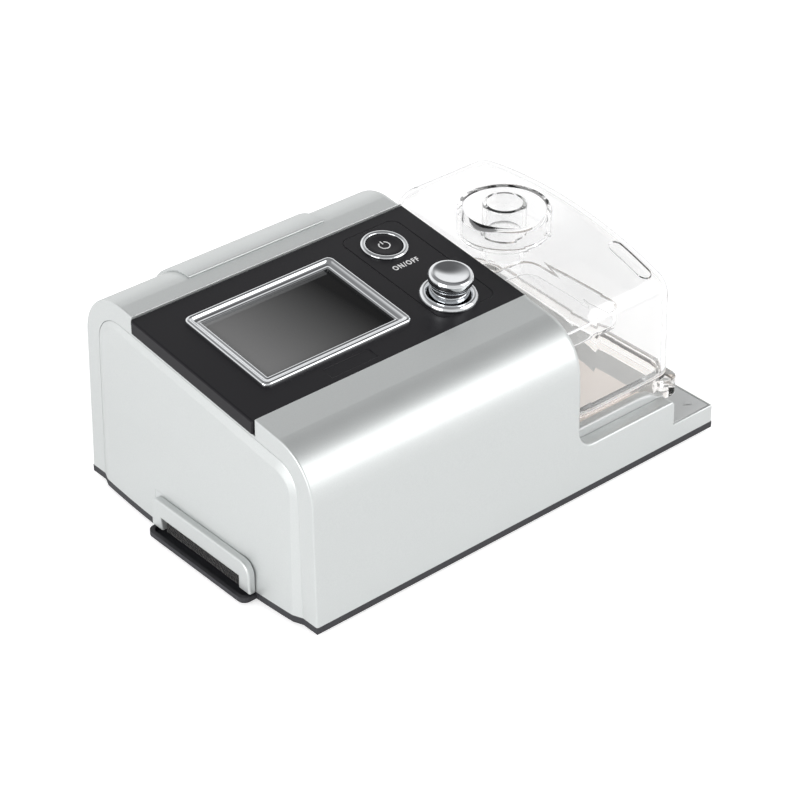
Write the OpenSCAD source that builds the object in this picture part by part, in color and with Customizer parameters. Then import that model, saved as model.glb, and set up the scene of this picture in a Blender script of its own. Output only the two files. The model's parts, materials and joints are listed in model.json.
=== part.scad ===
// Bilevel PAP machine: a table-top breathing device with a blower, a colour screen and a slide-out
// heated water chamber. The origin is at the centre of the footprint on the table, +X runs to the
// water chamber end, +Y runs to the back and +Z is up. Inside the modules, x starts at the hood's
// left end, y at the front wall and z at the table; placed() moves them to the origin.

/* [Housing] */
// Length of the hood over the blower and the screen
hood_l = 164; // [156:1:175]
// Length of the low rail beside the water chamber
bay_l = 64.5; // [60:0.5:72]
// Length of the platform at the right end
platform_l = 27.5; // [24:0.5:32]
// Depth of the housing at its foot
body_d = 172; // [168:1:180]
// Wall of the top shell
wall = 2.4; // [2:0.1:3]
// Height of the rail beside the water chamber, above the seam with the base
rail_h = 23.3; // [21.5:0.1:24]
// Height of the platform above the seam
platform_h = 9.5; // [9:0.1:11]
// Radius of the hood's front and back top edges
crown_r = 26; // [22:1:28]
// Lean of the front wall in degrees
front_draft = 1.2; // [0.5:0.1:2]
// Lean of the back wall in degrees
back_draft = 2.3; // [1:0.1:3]
// Width of the rail top in front of the water chamber
front_ledge_w = 8; // [7:0.5:10]
// Width of the rail top behind the water chamber
back_ledge_w = 19; // [17:0.5:21]
// Radius of the corner between the hood and the rail
hood_corner_r = 9; // [6:0.5:11]
// Border round the raised left end face
pad_border = 10; // [8:0.5:11]
// Width of the sloped edge of the raised left face, for each mm that it stands out
pad_slope = 2.4; // [1.5:0.1:2.6]
// How far the raised left face stands out at its corners
pad_out = 1.7; // [1.3:0.1:2.5]
// How far the raised left face bows out at its middle
pad_bow = 5.2; // [4:0.1:5.6]
// Distance from the hood's left end to the rear cover
cover_start = 40; // [36:1:44]
// Length of the rear cover
cover_l = 82; // [78:1:86]
// How much larger the rear cover's radius is than the hood's
cover_grow = 2.6; // [2.2:0.1:3]
// How far the rear cover's centre line lies behind the hood's
cover_back = 0.6; // [0.3:0.1:0.8]
// How far the rear cover's centre line lies below the hood's
cover_drop = 1.6; // [1.3:0.1:1.8]

/* [Base] */
// Height of the rubber feet below the base
foot_h = 2; // [1.5:0.1:3]
// Height of the black base band
band_h = 4; // [3.6:0.1:5]
// Thickness of the base floor
floor_t = 2.4; // [2:0.1:2.8]
// Radius of a rubber foot
foot_r = 6; // [5:0.5:7]
// Distance of a foot from the sides of the housing
foot_inset = 18; // [17:0.5:22]
// How far the scoop under the filter stands out
scoop_out = 11.5; // [10:0.5:13]

/* [Control panel] */
// Tilt of the control panel in degrees
panel_tilt = 7; // [5:0.5:9]
// Distance from the front wall to the panel's front edge
panel_front_y = 41; // [38:0.5:44]
// Height of the panel's front edge above the seam
panel_front_h = 90.7; // [88:0.1:95]
// Depth of the panel along its slope
panel_d = 90.8; // [89:0.1:93]
// Thickness of the panel
panel_t = 3; // [2.6:0.1:3.4]
// How far the silver shell stands above the panel
panel_recess = 1.2; // [0.6:0.1:1.6]
// Height of the panel's skirt at the left end
skirt_h = 7.8; // [6.5:0.1:9]
// How far the skirt stands out of the hood's left end
skirt_out = 0.8; // [0.4:0.1:1]

/* [Screen] */
// Length of the chrome bezel
bezel_l = 87.8; // [85:0.1:90]
// Depth of the chrome bezel
bezel_w = 61.2; // [60:0.1:64]
// Height of the bezel above the panel
bezel_h = 1.8; // [1.2:0.1:2.5]
// Length of the visible screen
screen_l = 75.5; // [72:0.1:77]
// Depth of the visible screen
screen_w = 49.2; // [46:0.1:50]
// Distance from the hood's left end to the middle of the screen
screen_x = 62.4; // [60:0.1:64]
// Distance from the panel's front edge to the middle of the screen
screen_v = 46; // [44:0.1:47]
// Thickness of the screen glass
glass_t = 1.2; // [0.8:0.1:1.6]
// Thickness of the screen module
module_t = 5; // [4:0.1:5.5]

/* [Keys] */
// Length of the key plate across the panel
key_plate_l = 35; // [33.5:0.1:36]
// Depth of the key plate along the panel
key_plate_w = 75; // [73:0.1:77]
// Corner radius of the key plate
key_plate_r = 5; // [3:0.5:6]
// Distance from the hood's right end to the middle of the key plate
key_plate_in = 28.4; // [27.5:0.1:29]
// Distance from the panel's front edge to the middle of the key plate
key_plate_v = 46.3; // [45.5:0.1:47]
// Distance from the key plate's middle back to the power button
power_v = 22.7; // [21:0.1:23.5]
// Outer radius of the power ring
power_ring_r = 11.8; // [11:0.1:12.5]
// Inner radius of the power ring
power_bore_r = 9.2; // [8.5:0.1:9.6]
// Height of the power ring above the panel
power_ring_h = 1.6; // [1:0.1:2]
// Travel of the power button
power_travel = 1; // [0.6:0.1:1.2]
// Gap between the power button and its ring
power_gap = 0.3; // [0.2:0.05:0.4]

/* [Knob] */
// Radius of the knob's cap
knob_r = 10.9; // [10.2:0.1:11.4]
// Height of the knob's top above the panel
knob_h = 14; // [13:0.5:16]
// Radius of the knob's neck
knob_neck_r = 9.8; // [9:0.1:10]
// Radius of the collar round the knob
collar_r = 14.3; // [13.4:0.1:15]
// Height of the collar
collar_h = 2.8; // [2.2:0.1:3.4]
// Distance from the key plate's middle forward to the knob
knob_v = 25.3; // [24:0.1:25.6]
// Distance from the key plate's middle to the knob, towards the left
knob_left = 2.4; // [1.6:0.1:2.8]
// Radius of the encoder shaft
encoder_shaft_r = 3; // [2.5:0.1:3.2]
// Press travel of the knob
knob_travel = 0.8; // [0.5:0.1:0.8]

/* [Filter] */
// Length of the filter cover along the left end
filter_l = 74; // [70:1:78]
// Height of the filter cover above the seam
filter_h = 16.5; // [15.5:0.1:18]
// Distance from the front wall to the middle of the filter
filter_y = 76; // [73:1:79]
// Length of the air opening in the filter cover
inlet_l = 58; // [55:1:60]
// Height of the air opening above the seam
inlet_h = 6.8; // [6:0.1:7.4]
// How far the filter cover stands out of the hood's left end
filter_out = 8; // [7.6:0.1:9]
// Length of the foam filter from left to right
foam_t = 13; // [11:0.5:14]

/* [Blower] */
// Radius of the volute
volute_r = 33; // [31:0.5:34]
// Height of the volute
volute_h = 30; // [28:0.5:32]
// Height of the volute's underside above the base floor
blower_lift = 34; // [32:0.5:36]
// Distance from the hood's left end to the blower's axis
blower_x = 108; // [106:1:110]
// Distance from the front wall to the blower's axis
blower_y = 72; // [70:1:74]
// Radius of the impeller
impeller_r = 26; // [24:0.5:26.5]
// Radius of the motor shaft
shaft_r = 2; // [1.5:0.1:2.2]
// Bore radius of the air outlet coupling
duct_r = 9; // [8:0.1:9.5]

/* [Boards] */
// Thickness of the circuit boards
board_t = 1.6; // [1.2:0.1:2]
// Length of the main board
board_l = 88; // [84:1:90]
// Depth of the main board
board_w = 46; // [44:1:48]
// Height of the main board above the base floor
board_lift = 10; // [9:0.5:12]
// Length of the data card
card_l = 32; // [30:0.5:33]
// Width of the data card
card_w = 24; // [22:0.5:25]
// Thickness of the data card
card_t = 2.1; // [1.4:0.1:2.1]

/* [Humidifier tray] */
// Height of the chamber rails above the rail top of the housing
guide_h = 5.4; // [4.5:0.1:6]
// Length of the heater plate
heater_l = 54; // [50:1:56]
// Depth of the heater plate
heater_w = 112; // [104:1:116]
// Thickness of the heater plate
heater_t = 3; // [2.4:0.1:3.4]
// Travel of the sprung heater plate
heater_travel = 1.2; // [0.8:0.1:1.5]
// Thickness of the latch plate
latch_t = 2.8; // [2.4:0.1:3]
// Travel of the latch plate
latch_travel = 3; // [2:0.1:3.2]

/* [Water chamber] */
// Wall of the clear dome and tub
clear_t = 2.2; // [1.8:0.1:2.4]
// Height of the dome's top at its front end, above the seal
dome_front_h = 56; // [54:0.1:57]
// Height of the dome's top at its back end, above the seal
dome_back_h = 68.3; // [66.5:0.1:69]
// How far the dome's top arches above a straight line between its two ends
dome_arch = 6.8; // [5.5:0.1:7.2]
// Radius of the dome's top edges and top corners
dome_top_r = 15; // [14:0.1:16]
// Radius of the upright corners of the tub and the dome
dome_corner_r = 12; // [10:0.1:13]
// How far the dome stands out over the latch plate
dome_over = 8; // [7:0.1:9]
// Height of the tub
tub_h = 25; // [24:0.5:28]
// How far the grip lip stands out of the tub
lip_out = 5.5; // [5:0.1:6.5]
// Height of the grip lip
lip_h = 9.5; // [8:0.5:10]
// Distance from the dome's left wall to the air outlet
port_x = 31.2; // [30:0.1:33]
// Distance from the dome's front wall to the air outlet
port_y = 83.8; // [81:0.1:87]
// Outer radius of the air outlet, a 22 mm breathing connector
port_r = 11; // [10.9:0.05:11.1]
// Bore radius of the air outlet
port_bore_r = 9; // [8.5:0.1:9.2]
// Radius of the cup round the air outlet
cup_r = 20.9; // [19.5:0.1:21.5]
// Depth of the cup
cup_h = 14; // [12:0.5:15]
// Height of the air outlet above the rim of its cup
port_rise = 1.7; // [1:0.1:2.2]

/* [Clearances] */
// Gap between pieces that slide past each other
slide_gap = 0.3; // [0.2:0.05:0.4]
// Radial gap of a pin or shaft in its bore
shaft_gap = 0.05; // [0.03:0.01:0.08]
// Gap round a piece set into a cut-out
fit_gap = 0.2; // [0.1:0.05:0.3]

/* [Hidden] */
$fn = 64;

// Colours
silver = "#cfd3d3";
satin_black = "#242327";
base_black = "#34343a";
chrome = "#c9ccd0";
glass_black = "#3a3b3d";
foam_black = "#1d1d1f";
clear_pc = [0.93, 0.94, 0.94, 0.4];
grey_abs = "#b4b6b5";
steel = "#a9adb1";
alloy = "#b9b7b2";
board_green = "#2f6b47";
white_pa = "#d9d9d4";
silicone = "#b9bdbf";
rubber_black = "#202022";
copper = "#a8643c";

// Overall places
eps = 0.01;
total_l = hood_l + bay_l + platform_l;
x_left = (scoop_out - total_l) / 2;
y_front = -body_d / 2;
seam_z = foot_h + band_h;
floor_z = foot_h + floor_t;
rail_z = seam_z + rail_h;
platform_z = seam_z + platform_h;
guide_z = rail_z + guide_h;
panel_front_z = seam_z + panel_front_h;
bay_y0 = front_ledge_w;
bay_y1 = body_d - back_ledge_w;
platform_x = hood_l + bay_l;

// Places on the panel, along its slope
key_x = hood_l - key_plate_in;
power_x = key_x - 1.3;
power_v0 = key_plate_v + power_v;
knob_x = key_x - knob_left;
knob_v0 = key_plate_v - knob_v;
module_top = -panel_t;
display_board_top = module_top - module_t;
display_board_l = 138;
display_board_w = 80;
display_board_x = 14;
display_board_v = 6;
post_r = 3.4;
screw_r = 1.5;
screw_head_r = 2.8;
screw_head_h = 1.4;
screw_sink = 0.4;
screw_grip = 10;

// Places of the blower
volute_z = floor_z + blower_lift;
volute_t = 2;
volute_top = volute_z + volute_h;
outlet_z = volute_z + volute_h / 2;
outlet_y = blower_y - volute_r + duct_r + volute_t;
motor_r = 14;
motor_h = 15;
bearing_r = 5;
bearing_h = 3;

// Places of the boards
board_x = 60;
board_y = body_d - 10 - board_w;
board_z = floor_z + board_lift;
inlet_in = 18;
inlet_x = board_x + inlet_in;
inlet_w = 16;
inlet_body_h = 11;
inlet_body_d = 11;
inlet_wall = 2;
inlet_sink = 1;
card_x = board_x + board_l - 12 - card_w;
card_z = board_z + board_t + 1.2;
card_out = 3;

// Places of the tray and the water chamber
tray_t = 1.5;
tray_floor_t = 2;
tray_y0 = bay_y0 + 0.1;
tray_y1 = bay_y1 - 0.1;
guide_w = 4.4;
flange_z = 25;
flange_h = 3.6;
tub_z = seam_z + platform_h + 0.5;
tub_top = tub_z + tub_h;
seal_t = 0.8;
dome_z = tub_top + seal_t;
dome_x0 = hood_l + 2;
dome_x1 = platform_x + dome_over;
dome_y0 = bay_y0 + 0.5;
dome_y1 = bay_y1 - 2;
dome_back_in = 3.3;
// centres of the dome's front and back top edges, and of the arch from one to the other
dome_front = [dome_y0 + dome_top_r, dome_z + dome_front_h - dome_top_r];
dome_back = [dome_y1 - dome_back_in - dome_top_r, dome_z + dome_back_h - dome_top_r];
dome_chord = norm(dome_back - dome_front);
dome_turn = atan2(dome_back[1] - dome_front[1], dome_back[0] - dome_front[0]);
arch_h = dome_arch * cos(dome_turn);
arch_r = dome_chord * dome_chord / 8 / arch_h + arch_h / 2;
arch_half = asin(dome_chord / 2 / arch_r);
arch_mid = (dome_front + dome_back) / 2 + (arch_r - arch_h) * [sin(dome_turn), -cos(dome_turn)];
tub_y0 = tray_y0 + guide_w + 0.5;
tub_y1 = tray_y1 - guide_w - 0.5;
tub_x0 = dome_x0;
tub_x1 = dome_x1;
base_plate_t = 1.2;
heater_top = tub_z - fit_gap;
heater_x = hood_l + 5;
heater_y = (tray_y0 + tray_y1 - heater_w) / 2;
film_t = 0.4;
tray_floor_z = floor_z + tray_floor_t;
port_cx = dome_x0 + port_x;
port_cy = dome_y0 + port_y;

// Lines of the hood's outline
function arc(c, r, a0, a1, n = 14) =
    [for (k = [0:n]) let (a = a0 + (a1 - a0) * k / n) [c[0] + r * cos(a), c[1] + r * sin(a)]];
function panel_z(y) = panel_front_z + (y - panel_front_y) * tan(panel_tilt);

// Centre of the arc of a back top edge of radius r, under a line top_up above the panel's plane
function back_centre(y1, z0, lean1, top_up, r) =
    let (
        tt = tan(panel_tilt),
        t1 = tan(lean1),
        c = panel_z(0) + top_up - r / cos(panel_tilt),
        y = (y1 - (c - z0) * t1 - r / cos(lean1)) / (1 + tt * t1)
    )
    [y, c + y * tt];

// A closed outline in y and z: two leaning walls on the line z0, a tilted top and round top edges.
// top_up lifts the top above the panel's plane and inset shrinks the outline on all sides.
function crown_outline(y0, y1, z0, lean0, lean1, top_up, r, inset, bottom) =
    let (
        tt = tan(panel_tilt),
        t0 = tan(lean0),
        t1 = tan(lean1),
        c = panel_z(0) + top_up - r / cos(panel_tilt),
        ya = (y0 + (c - z0) * t0 + r / cos(lean0)) / (1 - tt * t0)
    )
    concat(
        [[y0 + (bottom - z0) * t0 + inset / cos(lean0), bottom]],
        arc([ya, c + ya * tt], r - inset, 180 - lean0, 90 + panel_tilt),
        arc(back_centre(y1, z0, lean1, top_up, r), r - inset, 90 + panel_tilt, lean1),
        [[y1 - (bottom - z0) * t1 - inset / cos(lean1), bottom]]
    );
function hood_outline(inset, bottom) =
    crown_outline(0, body_d, seam_z, front_draft, back_draft, panel_recess, crown_r, inset, bottom);

// Height of the dome's arched top at y
function dome_top_z(y) =
    arch_mid[1] + sqrt(pow(arch_r + dome_top_r, 2) - pow(y - arch_mid[0], 2));

// Side view of the dome with its front and back top edges; between them it lies above the arch
function dome_outline(inset, bottom) =
    let (
        r = dome_top_r - inset,
        front_a = 92 + dome_turn + arch_half,
        back_a = 88 + dome_turn - arch_half,
        front = arc(dome_front, r, 180, front_a, 12),
        back = arc(dome_back, r, back_a, 3.5, 12)
    )
    concat([[dome_y0 + inset, bottom]], front, [
        front[12] + 25 * [sin(front_a + 8), -cos(front_a + 8)],
        [(dome_y0 + dome_y1) / 2, 150],
        back[0] - 25 * [sin(back_a - 8), -cos(back_a - 8)]
    ], back, [[dome_y1 - inset, bottom]]);

// The plan curve of the raised left face at the seam
function pad_curve(n = 12) =
    [for (k = [0:n]) let (s = 2 * k / n - 1) [-pad_out - (pad_bow - pad_out) * (1 - s * s),
        body_d / 2 + s * (body_d / 2 - pad_border)]];

// Shared shapes
module placed() {
    translate([x_left, y_front, 0]) children();
}

module on_panel() {
    translate([0, panel_front_y, panel_front_z]) rotate([panel_tilt, 0, 0]) children();
}

// Extrudes a [y, z] outline along x
module side_prism(x0, x1, points) {
    translate([x0, 0, 0]) rotate([90, 0, 90]) linear_extrude(x1 - x0) polygon(points);
}

// Extrudes an [x, z] outline along y
module front_prism(y0, y1, points) {
    translate([0, y1, 0]) rotate([90, 0, 0]) linear_extrude(y1 - y0) polygon(points);
}

module block(x, y, z) {
    translate([x[0], y[0], z[0]]) cube([x[1] - x[0], y[1] - y[0], z[1] - z[0]]);
}

module post(x, y, z0, z1, r) {
    translate([x, y, z0]) cylinder(h = z1 - z0, r = r);
}

module round_rect(l, w, r) {
    translate([r, 0]) square([l - 2 * r, w]);
    translate([0, r]) square([l, w - 2 * r]);
    for (x = [r, l - r], y = [r, w - r]) translate([x, y]) circle(r);
}

module round_plate(x, y, z, r) {
    translate([x[0], y[0], z[0]]) linear_extrude(z[1] - z[0]) round_rect(x[1] - x[0], y[1] - y[0], r);
}

module annulus(x, y, z0, z1, r_out, r_in) {
    difference() {
        post(x, y, z0, z1, r_out);
        post(x, y, z0 - 1, z1 + 1, r_in);
    }
}

// A compression spring: one wire swept along a helix
module spring(x, y, z0, z1, r, wire, turns) {
    steps = turns * 12;
    sides = 6;
    points = [for (k = [0:steps]) for (j = [0:sides - 1])
        let (a = 360 * turns * k / steps, b = 360 * j / sides, rr = r + wire / 2 * cos(b))
        [x + rr * cos(a), y + rr * sin(a),
            z0 + wire / 2 + (z1 - z0 - wire) * k / steps + wire / 2 * sin(b)]];
    walls = [for (k = [0:steps - 1]) for (j = [0:sides - 1])
        let (p = k * sides + j, q = k * sides + (j + 1) % sides)
        each [[p, q, q + sides], [p, q + sides, p + sides]]];
    ends = [for (j = [1:sides - 2]) each [[0, j + 1, j],
        [steps * sides, steps * sides + j, steps * sides + j + 1]]];
    polyhedron(points, concat(walls, ends));
}

// Places that more than one piece uses
function corners(x, y) = [for (i = x, j = y) [i, j]];
foot_places = corners([foot_inset, total_l - foot_inset], [foot_inset, body_d - foot_inset]);
boss_r = 4.2;
boss_h = 6;
boss_top = floor_z + boss_h;
boss_grip = 16;
screw_places = corners([wall + boss_r + 1, hood_l - wall - boss_r - 1],
    [wall + boss_r + 2, body_d - wall - boss_r - 2]);
board_screw_places = corners([board_x + 4, board_x + board_l - 4], [board_y + 4, board_y + board_w - 4]);
display_post_places = corners([display_board_x + 4, display_board_x + display_board_l - 4],
    [display_board_v + 4, display_board_v + display_board_w - 4]);
mount_reach = 22;
mount_places = corners([blower_x - mount_reach, blower_x + mount_reach],
    [blower_y - mount_reach, blower_y + mount_reach]);
heater_spring_places = [for (s = [0.2, 0.8], t = [0.2, 0.8])
    [heater_x + s * heater_l, heater_y + t * heater_w]];
latch_mid = platform_x + platform_l / 2;
// Triangle on the latch plate
mark_right = 5;
mark_y = 9.3;
mark_r = 2.5;
latch_spring_r = 4;
latch_pin_places = [[latch_mid, body_d * 0.2], [latch_mid, body_d * 0.8]];
latch_spring_places = [[latch_mid, body_d * 0.35], [latch_mid, body_d * 0.65]];

// Plan of the raised left face: bowed, with a sloped edge at each end
module pad_plan() {
    reach = pad_bow + 1;
    intersection() {
        polygon(concat(pad_curve(), [[1, body_d], [1, 0]]));
        polygon([[1, pad_border], [0, pad_border], [-reach, pad_border + reach * pad_slope],
            [-reach, body_d - pad_border - reach * pad_slope], [0, body_d - pad_border],
            [1, body_d - pad_border]]);
    }
}

module base_plan() {
    square([total_l, body_d]);
    pad_plan();
}

module scoop_plan(inset) {
    translate([-scoop_out + inset, filter_y - filter_l / 2 + inset])
        round_rect(scoop_out + wall - inset, filter_l - 2 * inset, 4 - inset / 2);
}

module base_shell() {
    color(base_black) placed() {
        difference() {
            union() {
                translate([0, 0, foot_h]) linear_extrude(band_h) base_plan();
                translate([0, 0, foot_h]) linear_extrude(band_h - 1) scoop_plan(0);
            }
            // hollow above the floor, leaving the band as a wall
            block([wall, total_l - wall], [wall, body_d - wall], [floor_z, seam_z + 1]);
            translate([0, 0, foot_h + 1.2]) linear_extrude(band_h) scoop_plan(2);
            // seats of the feet and holes of the housing screws
            for (p = foot_places) post(p[0], p[1], foot_h - 1, foot_h + 0.6, foot_r + fit_gap);
            for (p = screw_places) {
                post(p[0], p[1], foot_h - 1, floor_z + 1, screw_r + 0.2);
                post(p[0], p[1], foot_h - 1, foot_h + screw_sink + screw_head_h, screw_head_r + 0.4);
            }
        }
        // posts of the housing screws
        for (p = screw_places) annulus(p[0], p[1], floor_z, boss_top, boss_r, screw_r + 0.2);
        // standoffs of the main board
        for (p = board_screw_places) annulus(p[0], p[1], floor_z, board_z, 3, screw_r + 0.02);
        // sockets of the latch plate's guide pins
        for (p = latch_pin_places) {
            annulus(p[0], p[1], floor_z, latch_socket_top, 5, latch_pin_r + shaft_gap);
        }
    }
}

latch_pin_r = 3;
latch_socket_top = platform_z - latch_t - latch_travel - 0.2;

// Silhouette of the top shell from the front
function shell_front() = concat(
    [[0, seam_z], [0, 140], [hood_l, 140]],
    arc([hood_l + hood_corner_r, rail_z + hood_corner_r], hood_corner_r, 180, 270, 8),
    arc([platform_x - 2.5, rail_z - 2.5], 2.5, 90, 0, 4),
    [[platform_x, platform_z], [total_l, platform_z], [total_l, seam_z]]
);

// Side view of the panel's skirt, grown by a gap
function skirt_outline(gap) =
    let (back_y = panel_front_y + panel_d * cos(panel_tilt) + gap)
    [[panel_front_y - gap, panel_front_z + 5], [back_y, panel_z(back_y) + 5],
        [back_y, panel_z(back_y) - skirt_h - gap], [panel_front_y - gap, panel_front_z - skirt_h - gap]];

// The raised left face: bowed at the seam, straight at the top and sloped at its edges
module left_pad(border, shift) {
    reach = pad_bow + 1;
    translate([shift, 0, 0]) intersection() {
        hull() {
            side_prism(-eps, eps, hood_outline(border, seam_z - shift));
            side_prism(-reach - eps, -reach, hood_outline(border + reach * pad_slope, seam_z - shift));
        }
        hull() {
            translate([0, 0, seam_z - shift]) linear_extrude(0.2)
                polygon(concat(pad_curve(), [[1, body_d], [1, 0]]));
            block([-skirt_out - 0.2, 1], [pad_border, body_d - pad_border],
                [panel_front_z + 10, panel_front_z + 10.2]);
        }
    }
}

module top_shell() {
    color(silver) placed() {
        difference() {
            union() {
                intersection() {
                    side_prism(0, total_l, hood_outline(0, seam_z));
                    front_prism(-1, body_d + 1, shell_front());
                }
                left_pad(pad_border, 0);
            }
            // inside of the hood and of the raised left face
            side_prism(wall, hood_l - wall, hood_outline(wall, seam_z - 1));
            left_pad(pad_border + wall, wall);
            // bay of the water chamber, open upwards
            block([hood_l, total_l - wall], [bay_y0, bay_y1], [seam_z - 1, 140]);
            // under the two ledges
            block([hood_l - 1, platform_x - wall], [wall, bay_y0 + 1], [seam_z - 1, rail_z - wall]);
            block([hood_l - 1, platform_x - wall], [bay_y1 - 1, body_d - wall - 1.2],
                [seam_z - 1, rail_z - wall]);
            // seat of the latch plate
            block([platform_x, total_l - platform_rim], [platform_rim, body_d - platform_rim],
                [seam_z - 1, 140]);
            // seat of the control panel and its skirt
            on_panel() block([-20, hood_l + 1], [0, panel_d], [-panel_t, 30]);
            side_prism(-20, wall + eps, skirt_outline(0.1));
            // flat for the filter cover, and the air opening behind it
            block([-10, -filter_seat], [filter_y - filter_l / 2 - 1, filter_y + filter_l / 2 + 1],
                [seam_z - 1, seam_z + filter_h + 1]);
            block([-10, wall + 1], [filter_y - inlet_l / 2 - clip_t - 1, filter_y + inlet_l / 2 + clip_t + 1],
                [seam_z - 1, seam_z + inlet_h + 1]);
            // air port to the water chamber
            outlet_bore(hood_l - wall - 1, hood_l + 1, duct_r + 3 + fit_gap);
            // power inlet and card slot in the back wall
            block([inlet_x - 0.2, inlet_x + inlet_w + 0.2], [body_d - 8, body_d + 1],
                [board_z + board_t - 0.2, board_z + board_t + inlet_body_h + 0.2]);
            block([card_x - 0.5, card_x + card_w + 0.5], [body_d - 8, body_d + 1],
                [card_z - 0.5, card_z + card_t + 0.5]);
        }
        // ledges that carry the control panel
        for (v = [-4, panel_d - 3]) {
            on_panel() block([wall - eps, hood_l - wall + eps], [v, v + 7], [-panel_t - 2, -panel_t]);
        }
        for (v = [-4, panel_d + fit_gap]) {
            on_panel() block([wall - eps, hood_l - wall + eps], [v, v + 4 - fit_gap],
                [-panel_t - 1, panel_recess - wall + 0.5]);
        }
        // posts of the housing screws
        for (p = screw_places) {
            difference() {
                union() {
                    post(p[0], p[1], boss_top + fit_gap, boss_top + boss_grip, boss_r);
                    left = p[0] < hood_l / 2;
                    block([left ? wall - eps : p[0], left ? p[0] : hood_l - wall + eps],
                        [p[1] - 1, p[1] + 1], [boss_top + fit_gap, boss_top + boss_grip]);
                }
                post(p[0], p[1], boss_top - 1, boss_top + screw_grip + 2, screw_r + 0.02);
            }
        }
    }
}

platform_rim = 1.2;
filter_seat = pad_bow - 1;
clip_t = 2;
clip_in = 2;
filter_front_r = 7;
filter_back_r = 5;

module rear_cover() {
    cover_x1 = cover_start + cover_l;
    centre = back_centre(body_d, seam_z, back_draft, panel_recess, crown_r) + [cover_back, -cover_drop];
    color(silver) placed() difference() {
        side_prism(cover_start, cover_x1, concat(
            arc(centre, crown_r + cover_grow, 90 + panel_tilt, back_draft + 3, 16),
            arc(centre, crown_r - 4, back_draft + 3, 90 + panel_tilt, 6)
        ));
        side_prism(cover_start - 1, cover_x1 + 1, hood_outline(0, seam_z));
    }
}

module control_panel() {
    color(satin_black) placed() {
        difference() {
            union() {
                on_panel() block([-skirt_out, hood_l], [fit_gap, panel_d - fit_gap], [-panel_t, 0]);
                intersection() {
                    side_prism(-skirt_out, wall - fit_gap, skirt_outline(-0.1));
                    on_panel() block([-10, 10], [fit_gap, panel_d - fit_gap], [-30, 0]);
                }
            }
            on_panel() {
                // seat of the bezel and window of the screen
                block([screen_x - bezel_l / 2 + 2, screen_x + bezel_l / 2 - 2],
                    [screen_v - bezel_w / 2 + 2, screen_v + bezel_w / 2 - 2], [-panel_t - 1, 1]);
                // cut-out of the key plate
                round_plate([key_x - key_plate_l / 2 - 0.15, key_x + key_plate_l / 2 + 0.15],
                    [key_plate_v - key_plate_w / 2 - 0.15, key_plate_v + key_plate_w / 2 + 0.15],
                    [-1.4, 1], key_plate_r + 0.15);
                post(power_x, power_v0, -panel_t - 1, 1, power_bore_r + 1 + fit_gap);
                post(knob_x, knob_v0, -panel_t - 1, 1, bushing_r + fit_gap);
                // shallow recess for a label
                block([48.4, 75.4], [4.5, 11.3], [-0.3, 1]);
            }
        }
        // posts that carry the display board
        on_panel() for (p = display_post_places) {
            annulus(p[0], p[1], display_board_top, -panel_t + eps, post_r, screw_r + 0.02);
        }
    }
}

module key_plate() {
    color(satin_black) placed() on_panel() difference() {
        round_plate([key_x - key_plate_l / 2, key_x + key_plate_l / 2],
            [key_plate_v - key_plate_w / 2, key_plate_v + key_plate_w / 2], [-1.4, 0], key_plate_r);
        post(power_x, power_v0, -5, 5, power_bore_r + 1 + fit_gap);
        post(knob_x, knob_v0, -5, 5, bushing_r + fit_gap);
    }
}

bushing_r = 4.5;

module lcd_bezel() {
    module frame_ring(inset, z0, z1, r) {
        difference() {
            round_plate([screen_x - bezel_l / 2 + inset, screen_x + bezel_l / 2 - inset],
                [screen_v - bezel_w / 2 + inset, screen_v + bezel_w / 2 - inset], [z0, z1], r);
            block([screen_x - screen_l / 2, screen_x + screen_l / 2],
                [screen_v - screen_w / 2, screen_v + screen_w / 2], [z0 - 1, z1 + 1]);
        }
    }
    color(chrome) placed() on_panel() difference() {
        union() {
            frame_ring(2 + fit_gap, -panel_t + glass_t, 0, 1);
            frame_ring(0, 0, bezel_h * 0.6, 2.4);
            frame_ring(0.8, bezel_h * 0.5, bezel_h, 2);
        }
        // step down to the glass
        block([screen_x - screen_l / 2 - 2.4, screen_x + screen_l / 2 + 2.4],
            [screen_v - screen_w / 2 - 2.4, screen_v + screen_w / 2 + 2.4], [bezel_h * 0.35, 10]);
    }
}

module lcd_glass() {
    color(glass_black) placed() on_panel()
        block([screen_x - bezel_l / 2 + 2 + fit_gap, screen_x + bezel_l / 2 - 2 - fit_gap],
            [screen_v - bezel_w / 2 + 2 + fit_gap, screen_v + bezel_w / 2 - 2 - fit_gap],
            [-panel_t, -panel_t + glass_t]);
}

module lcd_module() {
    color(steel) placed() on_panel()
        block([screen_x - bezel_l / 2 + 0.6, screen_x + bezel_l / 2 - 0.6],
            [screen_v - bezel_w / 2 + 0.6, screen_v + bezel_w / 2 - 0.6], [display_board_top, module_top]);
}

module display_board() {
    color(board_green) placed() on_panel() difference() {
        block([display_board_x, display_board_x + display_board_l],
            [display_board_v, display_board_v + display_board_w],
            [display_board_top - board_t, display_board_top]);
        for (p = display_post_places) {
            post(p[0], p[1], display_board_top - 5, display_board_top + 5, screw_r + 0.2);
        }
    }
}

module power_ring() {
    color(chrome) placed() on_panel() {
        annulus(power_x, power_v0, 0, power_ring_h, power_ring_r, power_bore_r);
        annulus(power_x, power_v0, -panel_t, eps, power_bore_r + 1, power_bore_r);
    }
}

switch_h = module_t - 1.6;
plunger_gap = 0.1;
button_stem_r = 2;

module power_button() {
    color(satin_black) placed() on_panel() {
        post(power_x, power_v0, -2, 0.9, power_bore_r - power_gap);
        post(power_x, power_v0, display_board_top + switch_h + power_travel + plunger_gap, -2 + eps,
            button_stem_r);
    }
}

module button_switch() {
    color(steel) placed() on_panel() {
        block([power_x - 3, power_x + 3], [power_v0 - 3, power_v0 + 3],
            [display_board_top, display_board_top + switch_h - 1]);
        post(power_x, power_v0, display_board_top + switch_h - 1 - eps, display_board_top + switch_h, 1.6);
    }
}

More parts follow.
